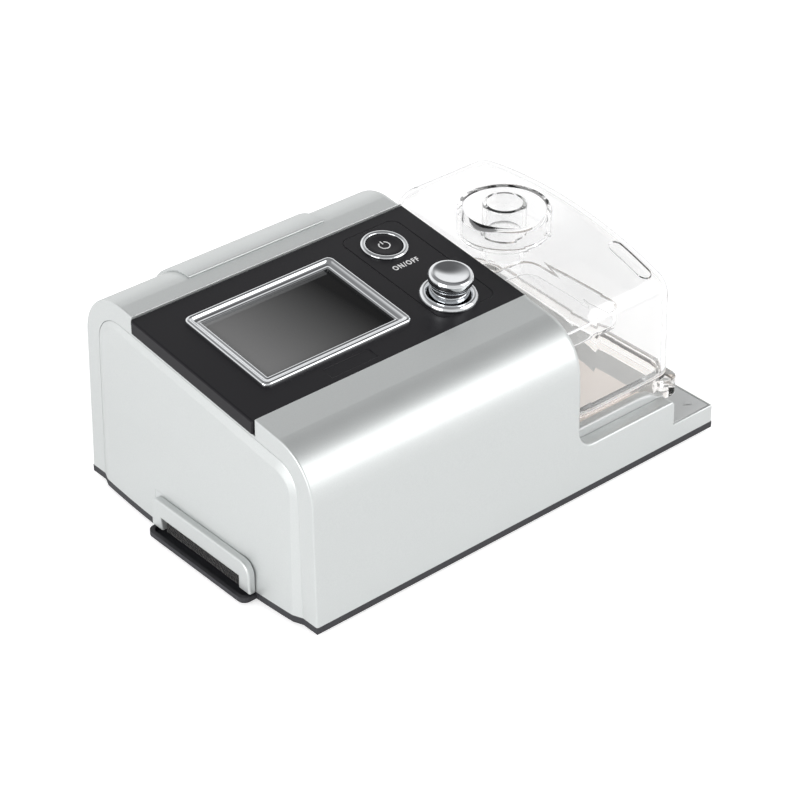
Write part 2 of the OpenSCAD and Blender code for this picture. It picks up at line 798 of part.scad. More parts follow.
module knob_collar() {
    color(chrome) placed() on_panel() translate([knob_x, knob_v0, 0]) rotate_extrude() polygon([
        [knob_neck_r + 0.5, 0], [collar_r, 0], [collar_r, 1], [collar_r - 0.6, collar_h * 0.7],
        [collar_r - 1.6, collar_h], [collar_r - 2.6, collar_h], [knob_neck_r + 0.5, 1.4]
    ]);
}

knob_foot = knob_travel + 0.3;

module knob() {
    color(chrome) placed() on_panel() translate([knob_x, knob_v0, 0]) difference() {
        rotate_extrude() polygon([
            [0, knob_h - 6], [0, knob_h], [knob_r - 2, knob_h], [knob_r - 0.6, knob_h - 0.7],
            [knob_r, knob_h - 2.2], [knob_r, knob_h - 4.6], [knob_neck_r, knob_h - 6.4],
            [knob_neck_r, knob_foot], [knob_neck_r - 2, knob_foot], [knob_neck_r - 2, knob_h - 6]
        ]);
        cylinder(h = knob_h - 3, r = encoder_shaft_r + shaft_gap);
    }
    color(chrome) placed() on_panel() translate([knob_x, knob_v0, 0]) difference() {
        translate([0, 0, 3.4]) cylinder(h = knob_h - 8, r = bushing_r + 1.5);
        translate([0, 0, 3]) cylinder(h = knob_h - 3 - 3, r = encoder_shaft_r + shaft_gap);
    }
}

encoder_h = module_t - 1;

module encoder_body() {
    color(steel) placed() on_panel() difference() {
        union() {
            block([knob_x - 6, knob_x + 6], [knob_v0 - 6, knob_v0 + 6],
                [display_board_top, display_board_top + encoder_h]);
            post(knob_x, knob_v0, display_board_top + encoder_h - eps, 1, bushing_r);
        }
        post(knob_x, knob_v0, display_board_top + 0.8, 5, encoder_shaft_r + shaft_gap);
    }
}

module encoder_shaft() {
    color(steel) placed() on_panel()
        post(knob_x, knob_v0, display_board_top + 1 + knob_travel, knob_h - 3 - 0.1, encoder_shaft_r);
}

module filter_cover() {
    y0 = filter_y - filter_l / 2;
    y1 = filter_y + filter_l / 2;
    z1 = seam_z + filter_h;
    color(silver) placed() {
        difference() {
            side_prism(-filter_out, -filter_seat - fit_gap, concat([[y0, seam_z + 0.1]],
                arc([y0 + filter_front_r, z1 - filter_front_r], filter_front_r, 180, 90, 8),
                arc([y1 - filter_back_r, z1 - filter_back_r], filter_back_r, 90, 0, 6), [[y1, seam_z + 0.1]]));
            block([-filter_out - 1, 1], [filter_y - inlet_l / 2, filter_y + inlet_l / 2],
                [seam_z - 1, seam_z + inlet_h]);
        }
        // two clips that hold the foam in the opening
        for (s = [-1, 1]) {
            y = filter_y + s * (inlet_l / 2 + clip_t / 2);
            block([-filter_seat - fit_gap - eps, wall + clip_in], [y - clip_t / 2, y + clip_t / 2],
                [seam_z + 0.4, seam_z + inlet_h]);
        }
    }
}

module filter_foam() {
    color(foam_black) placed()
        block([-filter_out + 2, -filter_out + 2 + foam_t],
            [filter_y - inlet_l / 2 + fit_gap, filter_y + inlet_l / 2 - fit_gap],
            [seam_z - 1 + fit_gap, seam_z + inlet_h - fit_gap]);
}

muffler_x0 = foam_t - filter_out + 2 + 3;
muffler_x1 = blower_x - volute_r - 12;
muffler_y0 = filter_y - inlet_l / 2 - 4;
muffler_y1 = filter_y + inlet_l / 2 + 4;
muffler_h = 34;
muffler_t = 2;
snorkel_z = floor_z + 18;

module muffler_box() {
    color(white_pa) placed() difference() {
        union() {
            block([muffler_x0, muffler_x1], [muffler_y0, muffler_y1], [floor_z, floor_z + muffler_h]);
            // duct to the blower's inlet
            block([muffler_x1 - eps, blower_x], [blower_y - 14, blower_y + 14], [floor_z + 8, floor_z + 28]);
            post(blower_x, blower_y, floor_z + 8, floor_z + 28, 14);
            post(blower_x, blower_y, floor_z + 27, volute_z - 1, 11);
        }
        block([muffler_x0 + muffler_t, muffler_x1 - muffler_t],
            [muffler_y0 + muffler_t, muffler_y1 - muffler_t],
            [floor_z + muffler_t, floor_z + muffler_h - muffler_t]);
        block([muffler_x1 - 3, blower_x], [blower_y - 12, blower_y + 12], [floor_z + 10, floor_z + 26]);
        post(blower_x, blower_y, floor_z + 10, floor_z + 26, 12);
        post(blower_x, blower_y, floor_z + 25, volute_z, 9);
        // window towards the filter
        block([muffler_x0 - 1, muffler_x0 + 3], [filter_y - inlet_l / 2 + 3, filter_y + inlet_l / 2 - 3],
            [floor_z + 3, floor_z + 9]);
    }
}

module muffler_foam() {
    x = [muffler_x0 + muffler_t + fit_gap, muffler_x1 - muffler_t - fit_gap];
    y = [muffler_y0 + muffler_t + fit_gap, muffler_y1 - muffler_t - fit_gap];
    color(foam_black) placed() {
        block(x, y, [floor_z + muffler_h - muffler_t - 8, floor_z + muffler_h - muffler_t - fit_gap]);
        block(x, [y[1] - 8, y[1]], [floor_z + muffler_t + fit_gap, floor_z + muffler_h - muffler_t - 8 + eps]);
        block(x, [y[0], y[0] + 8], [floor_z + muffler_t + fit_gap, floor_z + muffler_h - muffler_t - 8 + eps]);
    }
}

module outlet_bore(x0, x1, r) {
    translate([x0, outlet_y, outlet_z]) rotate([0, 90, 0]) cylinder(h = x1 - x0, r = r);
}

volute_out_x = blower_x + volute_r + 8;

module volute(z0, z1) {
    difference() {
        intersection() {
            union() {
                post(blower_x, blower_y, volute_z, volute_top, volute_r);
                outlet_bore(blower_x, volute_out_x, duct_r + volute_t);
                for (p = mount_places) post(p[0], p[1], volute_z, volute_z + 3, 6);
            }
            block([0, hood_l], [0, body_d], [z0, z1]);
        }
        post(blower_x, blower_y, volute_z + volute_t, volute_top - volute_t, volute_r - volute_t);
        outlet_bore(blower_x, volute_out_x + 1, duct_r);
    }
}

module lower_volute() {
    color(white_pa) placed() difference() {
        volute(volute_z, outlet_z);
        post(blower_x, blower_y, volute_z - 1, volute_z + volute_t + 1, 12);
    }
}

module upper_volute() {
    color(white_pa) placed() difference() {
        volute(outlet_z, volute_top);
        post(blower_x, blower_y, volute_top - volute_t - 1, volute_top + 1, bearing_r);
    }
}

module impeller() {
    z0 = volute_z + volute_t + 4;
    z1 = volute_top - volute_t - 3;
    color(white_pa) placed() difference() {
        union() {
            post(blower_x, blower_y, z1 - 1.6, z1, impeller_r);
            post(blower_x, blower_y, z0 + 4, z1, 6);
            translate([blower_x, blower_y, z0]) for (k = [0:10]) {
                rotate([0, 0, k * 360 / 11]) translate([9, 0, 0]) rotate([0, 0, 35])
                    cube([(impeller_r - 11), 1.2, z1 - z0 - 1]);
            }
        }
        post(blower_x, blower_y, z0 - 1, z1 + 1, shaft_r + 0.02);
    }
}

module motor_shaft() {
    color(steel) placed() post(blower_x, blower_y, volute_z + volute_t + 8, volute_top + motor_h - 1, shaft_r);
}

module motor_bearings() {
    color(steel) placed() {
        for (z = [volute_top - volute_t, volute_top + motor_h - 5])
            annulus(blower_x, blower_y, z, z + bearing_h, bearing_r, shaft_r + 0.02);
    }
}

module motor_stator() {
    color(copper) placed() difference() {
        post(blower_x, blower_y, volute_top, volute_top + motor_h, motor_r);
        post(blower_x, blower_y, volute_top - 1, volute_top + motor_h - 2, bearing_r);
        post(blower_x, blower_y, volute_top - 1, volute_top + motor_h + 1, shaft_r + 0.6);
    }
}

module blower_mounts() {
    color(silicone) placed() for (p = mount_places) {
        z1 = volute_z;
        post(p[0], p[1], floor_z, z1, 5);
    }
}

module outlet_coupling() {
    color(silicone) placed() difference() {
        union() {
            outlet_bore(volute_out_x, dome_x0 - 0.4, duct_r + 2);
            outlet_bore(hood_l - wall - 3, hood_l - wall - eps, duct_r + 6);
        }
        outlet_bore(volute_out_x - 1, dome_x0 + 1, duct_r);
    }
}

module main_board() {
    color(board_green) placed() difference() {
        block([board_x, board_x + board_l], [board_y, board_y + board_w], [board_z, board_z + board_t]);
        for (p = board_screw_places) post(p[0], p[1], board_z - 1, board_z + 5, screw_r + 0.2);
    }
}

module power_inlet() {
    color(satin_black) placed() difference() {
        block([inlet_x, inlet_x + inlet_w],
            [body_d - inlet_sink - inlet_wall - inlet_body_d, body_d - inlet_sink],
            [board_z + board_t, board_z + board_t + inlet_body_h]);
        block([inlet_x + inlet_wall, inlet_x + inlet_w - inlet_wall],
            [body_d - inlet_sink - inlet_body_d, body_d],
            [board_z + board_t + inlet_wall, board_z + board_t + inlet_body_h - inlet_wall]);
    }
}

module card_socket() {
    color(steel) placed() difference() {
        block([card_x - 1.5, card_x + card_w + 1.5], [body_d - 6 - card_l, body_d - 10.2],
            [board_z + board_t, card_z + card_t + 1.2]);
        block([card_x - fit_gap, card_x + card_w + fit_gap], [body_d - 4 - card_l, body_d],
            [card_z - fit_gap, card_z + card_t + fit_gap]);
    }
}

module data_card() {
    color(satin_black) placed()
        block([card_x, card_x + card_w], [body_d - card_out - card_l, body_d - card_out],
            [card_z, card_z + card_t]);
}

module chamber_tray() {
    x0 = hood_l + 0.3;
    x1 = platform_x - 0.4;
    color(grey_abs) placed() {
        difference() {
            block([x0, x1], [tray_y0, tray_y1], [floor_z, guide_z]);
            // the space of the chamber, between the walls and above the floor
            block([x0 + tray_t, x1 + 1], [tray_y0 + tray_t, tray_y1 - tray_t], [tray_floor_z, guide_z + 1]);
            // low left wall and open right end
            block([x0 - 1, x0 + tray_t + 1], [tray_y0 + tray_t, tray_y1 - tray_t], [platform_z, guide_z + 1]);
            // sloped ends of the guides
            front_prism(0, body_d, [[x1 - 15, guide_z + 1], [x1 - 15, guide_z], [x1 - 9, guide_z - 1.2],
                [x1 - 3, rail_z + 0.2], [x1 + 1, rail_z], [x1 + 1, guide_z + 1]]);
        }
        // runners below the tub's flanges and guides above them
        for (y = [tray_y0 + tray_t - eps, tray_y1 - guide_w]) {
            w = guide_w - tray_t;
            block([x0, x1], [y, y + w + eps], [tray_floor_z - eps, flange_z - slide_gap]);
            difference() {
                block([x0, x1], [y, y + w + eps], [flange_z + flange_h + slide_gap, guide_z]);
                front_prism(0, body_d, [[x1 - 15, guide_z + 1], [x1 - 15, guide_z], [x1 - 9, guide_z - 1.2],
                    [x1 - 3, rail_z + 0.2], [x1 + 1, rail_z], [x1 + 1, guide_z + 1]]);
            }
        }
        // end wall below the chamber
        block([x1 - tray_t, x1], [tray_y0, tray_y1], [tray_floor_z - eps, platform_z - 0.8]);
    }
}

module heater_plate() {
    color(alloy) placed()
        round_plate([heater_x, heater_x + heater_l], [heater_y, heater_y + heater_w],
            [heater_top - heater_t, heater_top], 4);
}

module heater_film() {
    color("#c2812f") placed()
        round_plate([heater_x + 3, heater_x + heater_l - 3], [heater_y + 3, heater_y + heater_w - 3],
            [heater_top - heater_t - film_t, heater_top - heater_t], 3);
}

module heater_springs() {
    color(steel) placed() for (p = heater_spring_places)
        spring(p[0], p[1], tray_floor_z, heater_top - heater_t - film_t, 3.5, 0.7, 4);
}

module latch_plate() {
    color(grey_abs) placed() {
        block([platform_x + slide_gap, total_l - platform_rim - slide_gap],
            [platform_rim + slide_gap, body_d - platform_rim - slide_gap], [platform_z - latch_t, platform_z]);
        for (p = latch_pin_places) {
            post(p[0], p[1], floor_z + latch_travel + 0.2, platform_z - latch_t + eps, latch_pin_r);
        }
        // raised triangle that points at the chamber
        translate([latch_mid + mark_right, mark_y, platform_z - eps]) rotate([0, 0, 180])
            cylinder(h = 0.25, r = mark_r, $fn = 3);
    }
}

module latch_springs() {
    color(steel) placed() for (p = latch_spring_places) {
        spring(p[0], p[1], floor_z, platform_z - latch_t, latch_spring_r, 0.8, 4);
    }
}

module chamber_tub() {
    flange_y = [tray_y0 + tray_t + slide_gap, tray_y1 - tray_t - slide_gap];
    module tub_plan(inset, r) {
        translate([tub_x0 + inset, tub_y0 + inset])
            round_rect(tub_x1 - tub_x0 - 2 * inset, tub_y1 - tub_y0 - 2 * inset, r);
    }
    color(clear_pc) placed() difference() {
        union() {
            translate([0, 0, tub_z]) linear_extrude(tub_h) tub_plan(0, dome_corner_r);
            // rim that carries the dome
            round_plate([dome_x0, dome_x1], [dome_y0, dome_y1], [tub_top - 2, tub_top], dome_corner_r);
            // guide flanges
            block([tub_x0 + 2, tub_x1 - dome_corner_r], flange_y, [flange_z, flange_z + flange_h]);
            // grip lip at the right end
            round_plate([tub_x1 - 30, tub_x1 + lip_out], flange_y, [flange_z, flange_z + flange_h], 9);
            round_plate([platform_x + 0.5, tub_x1 + lip_out], flange_y, [flange_z, flange_z + lip_h], 6);
        }
        translate([0, 0, tub_z + 2]) linear_extrude(tub_h) tub_plan(clear_t, dome_corner_r - clear_t);
        // hollow of the grip lip, open downwards
        round_plate([tub_x1 + eps, tub_x1 + lip_out - 2], [tub_y0 + 6, tub_y1 - 6],
            [flange_z - 1, flange_z + lip_h - 2.4], 1.4);
        // opening for the metal base
        translate([0, 0, tub_z - 1]) linear_extrude(5) tub_plan(7, 4);
    }
}

module chamber_base() {
    color(alloy) placed() {
        // pan that reaches down through the floor of the tub
        round_plate([tub_x0 + 7 + fit_gap, tub_x1 - 7 - fit_gap], [tub_y0 + 7 + fit_gap, tub_y1 - 7 - fit_gap],
            [tub_z, tub_z + 2 + eps], 4 - fit_gap);
        // flange that lies on the floor of the tub
        round_plate([tub_x0 + 4, tub_x1 - 4], [tub_y0 + 4, tub_y1 - 4],
            [tub_z + 2, tub_z + 2 + base_plate_t], 5);
    }
}

module chamber_seal() {
    color([0.82, 0.72, 0.68]) placed() difference() {
        round_plate([dome_x0, dome_x1], [dome_y0, dome_y1], [tub_top, dome_z], dome_corner_r);
        round_plate([dome_x0 + clear_t, dome_x1 - clear_t], [dome_y0 + clear_t, dome_y1 - clear_t],
            [tub_top - 1, dome_z + 1], dome_corner_r - clear_t);
    }
}

// Solid shape of the dome at an inset from its skin
module dome_solid(inset, bottom) {
    length = dome_x1 - dome_x0 - 2 * inset;
    intersection() {
        side_prism(dome_x0 + inset, dome_x1 - inset, dome_outline(inset, bottom));
        round_plate([dome_x0 + inset, dome_x1 - inset], [dome_y0 + inset, dome_y1 - inset], [bottom, 140],
            dome_corner_r - inset);
        // arched top with rounded left and right edges
        translate([dome_x0 + inset, arch_mid[0], arch_mid[1]]) rotate([0, 90, 0]) rotate_extrude()
            translate([arch_r - 100, 0]) round_rect(100 + dome_top_r - inset, length, dome_top_r - inset);
    }
}

cup_top_z = dome_top_z(port_cy);
cup_floor_z = cup_top_z - cup_h;
port_top_z = cup_top_z + port_rise;
finger_l = 25.8;
finger_w = 8;
finger_in = 11.6;
finger_y = dome_y0 + 7.6;
finger_depth = 1;
duct_h = 14;
spout_l = 16;

module chamber_dome() {
    color(clear_pc) placed() difference() {
        dome_solid(0, dome_z);
        // inside, around the cup, the duct below it and the spout of the air inlet
        difference() {
            dome_solid(clear_t, dome_z - 1);
            post(port_cx, port_cy, cup_floor_z - clear_t, 140, cup_r + clear_t);
            post(port_cx, port_cy, cup_floor_z - duct_h, cup_floor_z, port_bore_r + clear_t);
            outlet_bore(dome_x0 - 1, dome_x0 + spout_l, duct_r + clear_t);
        }
        // cup round the air outlet, and the bore of the outlet
        difference() {
            post(port_cx, port_cy, cup_floor_z, 140, cup_r);
            post(port_cx, port_cy, cup_floor_z - 1, 141, port_r);
        }
        post(port_cx, port_cy, cup_floor_z - duct_h - 1, 140, port_bore_r);
        outlet_bore(dome_x0 - 1, dome_x0 + spout_l + 1, duct_r);
        // shallow finger recess near the front end of the right edge
        difference() {
            round_plate([dome_x1 - finger_in - finger_w, dome_x1 - finger_in], [finger_y, finger_y + finger_l],
                [dome_z + dome_front_h / 2, 140], finger_w / 2 - 0.1);
            dome_solid(finger_depth, dome_z);
        }
    }
    color(clear_pc) placed() difference() {
        // air outlet tube above the skin of the dome
        post(port_cx, port_cy, cup_floor_z - 1, port_top_z, port_r);
        post(port_cx, port_cy, cup_floor_z - 2, port_top_z + 1, port_bore_r);
    }
}

deck_lift = 38;
deck_l = 46;
deck_w = 65;
deck_in = 14;
deck_h = 9;
deck_r = 9;
deck_t = 1.6;
deck_z = dome_z + deck_lift;
deck_x0 = dome_x0 + clear_t + fit_gap;
deck_x1 = dome_x0 + deck_l;
deck_y0 = dome_y0 + deck_in;
deck_y1 = deck_y0 + deck_w;

module chamber_deck() {
    color(clear_pc) placed() difference() {
        round_plate([deck_x0, deck_x1], [deck_y0, deck_y1], [deck_z - deck_h, deck_z], deck_r);
        round_plate([deck_x0 + deck_t, deck_x1 - deck_t], [deck_y0 + deck_t, deck_y1 - deck_t],
            [deck_z - deck_h - 1, deck_z - deck_t], deck_r - deck_t);
    }
}

module rubber_feet() {
    color(rubber_black) placed() for (p = foot_places) post(p[0], p[1], 0, foot_h + 0.6, foot_r);
}

module housing_screws() {
    color(steel) placed() for (p = screw_places) {
        post(p[0], p[1], foot_h + screw_sink, foot_h + screw_sink + screw_head_h, screw_head_r);
        post(p[0], p[1], foot_h + screw_sink + screw_head_h - eps, boss_top + screw_grip, screw_r);
    }
}

module board_screws() {
    color(steel) placed() {
        for (p = board_screw_places) {
            post(p[0], p[1], board_z + board_t, board_z + board_t + 1.6, screw_head_r);
            post(p[0], p[1], board_z - 6, board_z + board_t + eps, screw_r);
        }
        on_panel() for (p = display_post_places) {
            post(p[0], p[1], display_board_top - board_t - 1.6, display_board_top - board_t, screw_head_r);
            post(p[0], p[1], display_board_top - board_t - eps, display_board_top + 4, screw_r);
        }
    }
}

base_shell();
top_shell();
rear_cover();
control_panel();
key_plate();
lcd_bezel();
lcd_glass();
lcd_module();
display_board();
power_ring();
power_button();
button_switch();
knob_collar();
knob();
encoder_body();
encoder_shaft();
filter_cover();
filter_foam();
muffler_box();
muffler_foam();
lower_volute();
upper_volute();
impeller();
motor_shaft();
motor_bearings();
motor_stator();
blower_mounts();
outlet_coupling();
main_board();
power_inlet();
card_socket();
data_card();
chamber_tray();
heater_plate();
heater_film();
heater_springs();
latch_plate();
latch_springs();
chamber_tub();
chamber_base();
chamber_seal();
chamber_dome();
chamber_deck();
rubber_feet();
housing_screws();
board_screws();
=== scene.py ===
"""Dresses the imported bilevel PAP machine: soft edges, small parts, finishes, lights and camera."""

import json
import math

import bmesh
import bpy
from bpy.props import FloatProperty, PointerProperty, StringProperty
from mathutils import Matrix, Vector, noise


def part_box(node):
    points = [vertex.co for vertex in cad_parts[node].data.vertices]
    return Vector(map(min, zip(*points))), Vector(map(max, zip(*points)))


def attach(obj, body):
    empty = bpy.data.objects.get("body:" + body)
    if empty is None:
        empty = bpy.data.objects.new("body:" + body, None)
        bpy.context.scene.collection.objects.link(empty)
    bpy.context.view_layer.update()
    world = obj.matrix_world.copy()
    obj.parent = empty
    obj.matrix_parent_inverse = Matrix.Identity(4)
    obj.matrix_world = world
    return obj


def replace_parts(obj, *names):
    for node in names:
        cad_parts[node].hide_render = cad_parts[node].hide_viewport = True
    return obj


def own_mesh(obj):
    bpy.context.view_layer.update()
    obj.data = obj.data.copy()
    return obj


bl_info = {
    "name": "Bilevel PAP machine",
    "version": (1, 0, 0),
    "blender": (4, 5, 0),
    "location": "3D View > Sidebar > PAP Machine",
    "description": "Builds the looks of a bilevel PAP machine with a slide-out water chamber",
    "category": "Object",
}

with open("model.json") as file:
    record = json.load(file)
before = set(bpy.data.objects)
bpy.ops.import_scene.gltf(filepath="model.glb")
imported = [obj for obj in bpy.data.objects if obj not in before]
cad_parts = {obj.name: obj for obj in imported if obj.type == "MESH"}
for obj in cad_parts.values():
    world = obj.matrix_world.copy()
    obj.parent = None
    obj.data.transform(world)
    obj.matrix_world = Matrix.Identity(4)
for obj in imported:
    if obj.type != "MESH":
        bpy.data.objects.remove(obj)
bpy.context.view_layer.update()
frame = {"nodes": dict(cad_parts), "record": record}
body_of = {node: body for body, nodes in frame["record"]["behaviour"]["bodies"].items() for node in nodes}

# Millimetres from the hood's left end, the foot of the front wall and the table, to the frame's metres.
HOOD = Matrix.Translation((-0.12225, -0.086, 0)) @ Matrix.Scale(0.001, 4)
# The control panel's lower edge in the hood's millimetres, and its tilt in degrees.
PANEL_Y, PANEL_Z, PANEL_TILT = 41, 96.7, 7
# Millimetres on the control panel: along the hood, up its slope, and out of it.
PANEL = HOOD @ Matrix.Translation((0, PANEL_Y, PANEL_Z)) @ Matrix.Rotation(math.radians(PANEL_TILT), 4, "X")
TO_HOOD = HOOD.inverted()
TO_PANEL = PANEL.inverted()

# Middles of the knob, the power key, the screen and the words, in the panel's millimetres.
KNOB = (133.2, 21.0)
POWER = (134.3, 69.0)
SCREEN = (62.4, 46.0)
WORDS = (125.6, 50.4)
WORDS_LENGTH = 15.6

# The hood's right end wall, and the air port in it with its radius, in the hood's millimetres.
HOOD_END = 164
PORT_Y, PORT_Z = 50, 53.4
BORE_R = 9

# Widths of soft edges, in millimetres: hidden or tight ones, and those of the low rails.
TIGHT = 0.3
RAIL_ROUND = 1.0


class CaseSizes(bpy.types.PropertyGroup):
    silver: StringProperty(name="Silver", description="Colour of the silver case", default="#d3d6d5")
    black: StringProperty(name="Panel black", description="Colour of the control panel", default="#131216")
    base: StringProperty(name="Base black", description="Colour of the base", default="#2b2b30")
    end_round: FloatProperty(
        name="End rounding", description="Width of the hood's right end rounding, in millimetres",
        default=3.2, min=1.0, max=5.0)
    crisp_round: FloatProperty(
        name="Crisp rounding", description="Radius of the hood's left end edge, in millimetres",
        default=0.9, min=0.2, max=2.0)


class PanelSizes(bpy.types.PropertyGroup):
    ridge: FloatProperty(
        name="Bezel ridge",
        description="Height of the bezel's rounded ridge above the panel, in millimetres",
        default=1.8, min=0.8, max=2.5)
    lettering: StringProperty(name="Lettering", description="Colour of the printed words and symbol",
                              default="#ececec")
    letter_height: FloatProperty(
        name="Letter height", description="Height of the capital letters, in millimetres", default=3.4,
        min=2.0, max=5.0)


class ChamberSizes(bpy.types.PropertyGroup):
    clear: StringProperty(name="Clear plastic", description="Tint of the clear dome", default="#fdfdfd")
    tub: StringProperty(name="Tub plastic", description="Tint of the clear tub", default="#fdfbf9")
    # the edge tone is painted shade, laid on the clear plastic's colour where its wall is seen edge-on
    edge: StringProperty(name="Edge tone", description="Tint of clear plastic seen along its wall",
                         default="#888c8f")


class StageSizes(bpy.types.PropertyGroup):
    floor: FloatProperty(name="Floor", description="Side of the floor", default=8.0, min=2.0,
                         subtype="DISTANCE", unit="LENGTH")
    key: FloatProperty(name="Key lamp", description="Power of the soft lamp at the front right",
                       default=9.5, min=0.0, unit="POWER")
    fill: FloatProperty(name="Fill lamp", description="Power of the soft lamp at the left", default=18.0,
                        min=0.0, unit="POWER")


def linear(text):
    """An sRGB hex colour as linear red, green, blue and alpha."""
    parts = [int(text[i:i + 2], 16) / 255 for i in (1, 3, 5)]
    return tuple(c / 12.92 if c <= 0.04045 else ((c + 0.055) / 1.055) ** 2.4 for c in parts) + (1.0,)


def add_node(material, kind, settings=None, links=None):
    """Adds a node. Settings are its attributes or the values of its inputs, and links feed its inputs."""
    node = material.node_tree.nodes.new(kind)
    for key, value in (settings or {}).items():
        if isinstance(key, int) or key in node.inputs:
            node.inputs[key].default_value = value
        else:
            setattr(node, key, value)
    for key, source in (links or {}).items():
        material.node_tree.links.new(source, node.inputs[key])
    return node


def new_material(name):
    """An empty node material."""
    material = bpy.data.materials.new(name)
    material.use_nodes = True
    material.node_tree.nodes.clear()
    return material


def per_metre(millimetres):
    """Scale of a pattern whose parts are this many millimetres wide."""
    return 1000 / millimetres


def object_place(material):
    """Links that lay a pattern out in the object's own coordinates."""
    return {"Vector": add_node(material, "ShaderNodeTexCoord").outputs["Object"]}


def two_tone(material, first, second, share):
    """The colour between two hex colours at a share that another node gives."""
    mix = add_node(material, "ShaderNodeMix", {"data_type": "RGBA", 6: linear(first), 7: linear(second)},
                   {0: share})
    return mix.outputs[2]


def relief_of(material, height, distance):
    """A surface normal from a height pattern whose full depth is this many metres."""
    bump = add_node(material, "ShaderNodeBump", {"Strength": 1.0, "Distance": distance}, {"Height": height})
    return bump.outputs[0]


def shown(material, surface):
    """Ends a material in this shader node."""
    add_node(material, "ShaderNodeOutputMaterial", links={"Surface": surface.outputs[0]})
    return material


def grained(name, colour, other, grain, rough, rough_spread=0.04, bump=0.02, **shader):
    """A plain surface whose colour, roughness and height vary with one grain, given in millimetres."""
    material = new_material(name)
    place = object_place(material)
    fine = add_node(material, "ShaderNodeTexNoise", {"Scale": per_metre(grain), "Detail": 3.0}, place)
    broad = add_node(material, "ShaderNodeTexNoise", {"Scale": per_metre(grain * 30), "Detail": 2.0}, place)
    tone = two_tone(material, colour, other, fine.outputs[0])
    gloss = add_node(material, "ShaderNodeMapRange",
                     {"From Min": 0.3, "From Max": 0.7, "To Min": rough - rough_spread,
                      "To Max": rough + rough_spread},
                     {"Value": broad.outputs[0]})
    relief = relief_of(material, fine.outputs[0], bump * 0.001)
    surface = add_node(material, "ShaderNodeBsdfPrincipled", shader,
                       {"Base Color": tone, "Roughness": gloss.outputs[0], "Normal": relief})
    return shown(material, surface)


def clear_plastic(name, tint, edge, rough, bend=1.49):
    """Clear injection-moulded acrylic: it greys where the eye looks along its wall, a painted shade in
    place of the dark lines that refraction draws there, and keeps its shadow light. The bend is the index
    of refraction, 1.49 for real acrylic."""
    material = new_material(name)
    place = object_place(material)
    flow = add_node(material, "ShaderNodeTexNoise",
                    {"Scale": per_metre(9), "Detail": 2.0, "Distortion": 0.6}, place)
    gloss = add_node(material, "ShaderNodeMapRange",
                     {"From Min": 0.3, "From Max": 0.7, "To Min": rough * 0.6, "To Max": rough * 1.4},
                     {"Value": flow.outputs[0]})
    relief = relief_of(material, flow.outputs[0], 0.000012)
    # painted shade: the base colour turns to the edge tone where the wall is seen edge-on
    painted_edge_shade_facing = add_node(material, "ShaderNodeLayerWeight", {"Blend": 0.5})
    along = add_node(material, "ShaderNodeMapRange",
                     {"From Min": 0.7, "From Max": 1.0, "interpolation_type": "SMOOTHSTEP"},
                     {"Value": painted_edge_shade_facing.outputs["Facing"]})
    tone = two_tone(material, tint, edge, along.outputs[0])
    surface = add_node(material, "ShaderNodeBsdfPrincipled", {"IOR": bend, "Transmission Weight": 1.0},
                       {"Base Color": tone, "Roughness": gloss.outputs[0], "Normal": relief})
    # after more than five turns the light leaves straight, where it would else end as black
    leaving = add_node(material, "ShaderNodeBsdfTransparent", {"Color": linear("#ffffff")})
    through = add_node(material, "ShaderNodeBsdfTransparent", {"Color": linear("#fdfdfd")})
    path = add_node(material, "ShaderNodeLightPath")
    late = add_node(material, "ShaderNodeMath", {"operation": "GREATER_THAN", 1: 5.5},
                    {0: path.outputs["Ray Depth"]})
    inner = add_node(material, "ShaderNodeMixShader",
                     links={0: late.outputs[0], 1: surface.outputs[0], 2: leaving.outputs[0]})
    mixed = add_node(material, "ShaderNodeMixShader",
                     links={0: path.outputs["Is Shadow Ray"], 1: inner.outputs[0], 2: through.outputs[0]})
    return shown(material, mixed)


def silver_paint():
    """Silver-painted ABS: fine metal flakes under a satin lacquer give a soft broad highlight."""
    return grained("silver_painted_abs", case().silver, "#c8cbcb", 0.6, 0.40, 0.02, 0.012,
                   **{"Metallic": 0.62, "Coat Weight": 0.12, "Coat Roughness": 0.28})


def satin_black():
    """Satin moulded ABS: dark with a broad sheen and hardly any grain."""
    return grained("satin_black_abs", case().black, "#1a191d", 0.5, 0.36, 0.03, 0.01,
                   **{"Specular IOR Level": 0.22})


def base_black():
    """Black ABS from a spark-eroded mould: matt with a fine even grain."""
    return grained("matt_black_abs", case().base, "#1f1f23", 0.6, 0.58, 0.04, 0.05, **{"IOR": 1.53})


def chrome_plate():
    """Bright chrome plating on plastic: mirror gloss with the faintest haze."""
    return grained("chrome_plated_abs", "#dcdee0", "#d6d8da", 2.0, 0.05, 0.015, 0.002, **{"Metallic": 1.0})


def screen_glass():
    """Glass over a display that is off: near black, with a painted reflection: a grey gradient towards the
    front left stands in for the bright studio mirrored there.
    """
    material = new_material("unlit_display_glass")
    place = object_place(material)
    # painted reflection: the base colour runs from grey at the front left to near black at the back right
    turned = add_node(material, "ShaderNodeMapping", {"Location": (0.1, 0.07, 0.0)}, place)
    parts = add_node(material, "ShaderNodeSeparateXYZ", links={0: turned.outputs[0]})
    slope = add_node(material, "ShaderNodeMath", {"operation": "MULTIPLY_ADD", 1: 0.15},
                     {0: parts.outputs[1], 2: parts.outputs[0]})
    painted_reflection_ramp = add_node(material, "ShaderNodeMapRange", {"From Min": 0.015, "From Max": 0.082},
                    {"Value": slope.outputs[0]})
    tone = two_tone(material, "#7c7c7c", "#050506", painted_reflection_ramp.outputs[0])
    surface = add_node(material, "ShaderNodeBsdfPrincipled",
                       {"Roughness": 0.12, "IOR": 1.5, "Specular IOR Level": 0.16},
                       {"Base Color": tone})
    return shown(material, surface)


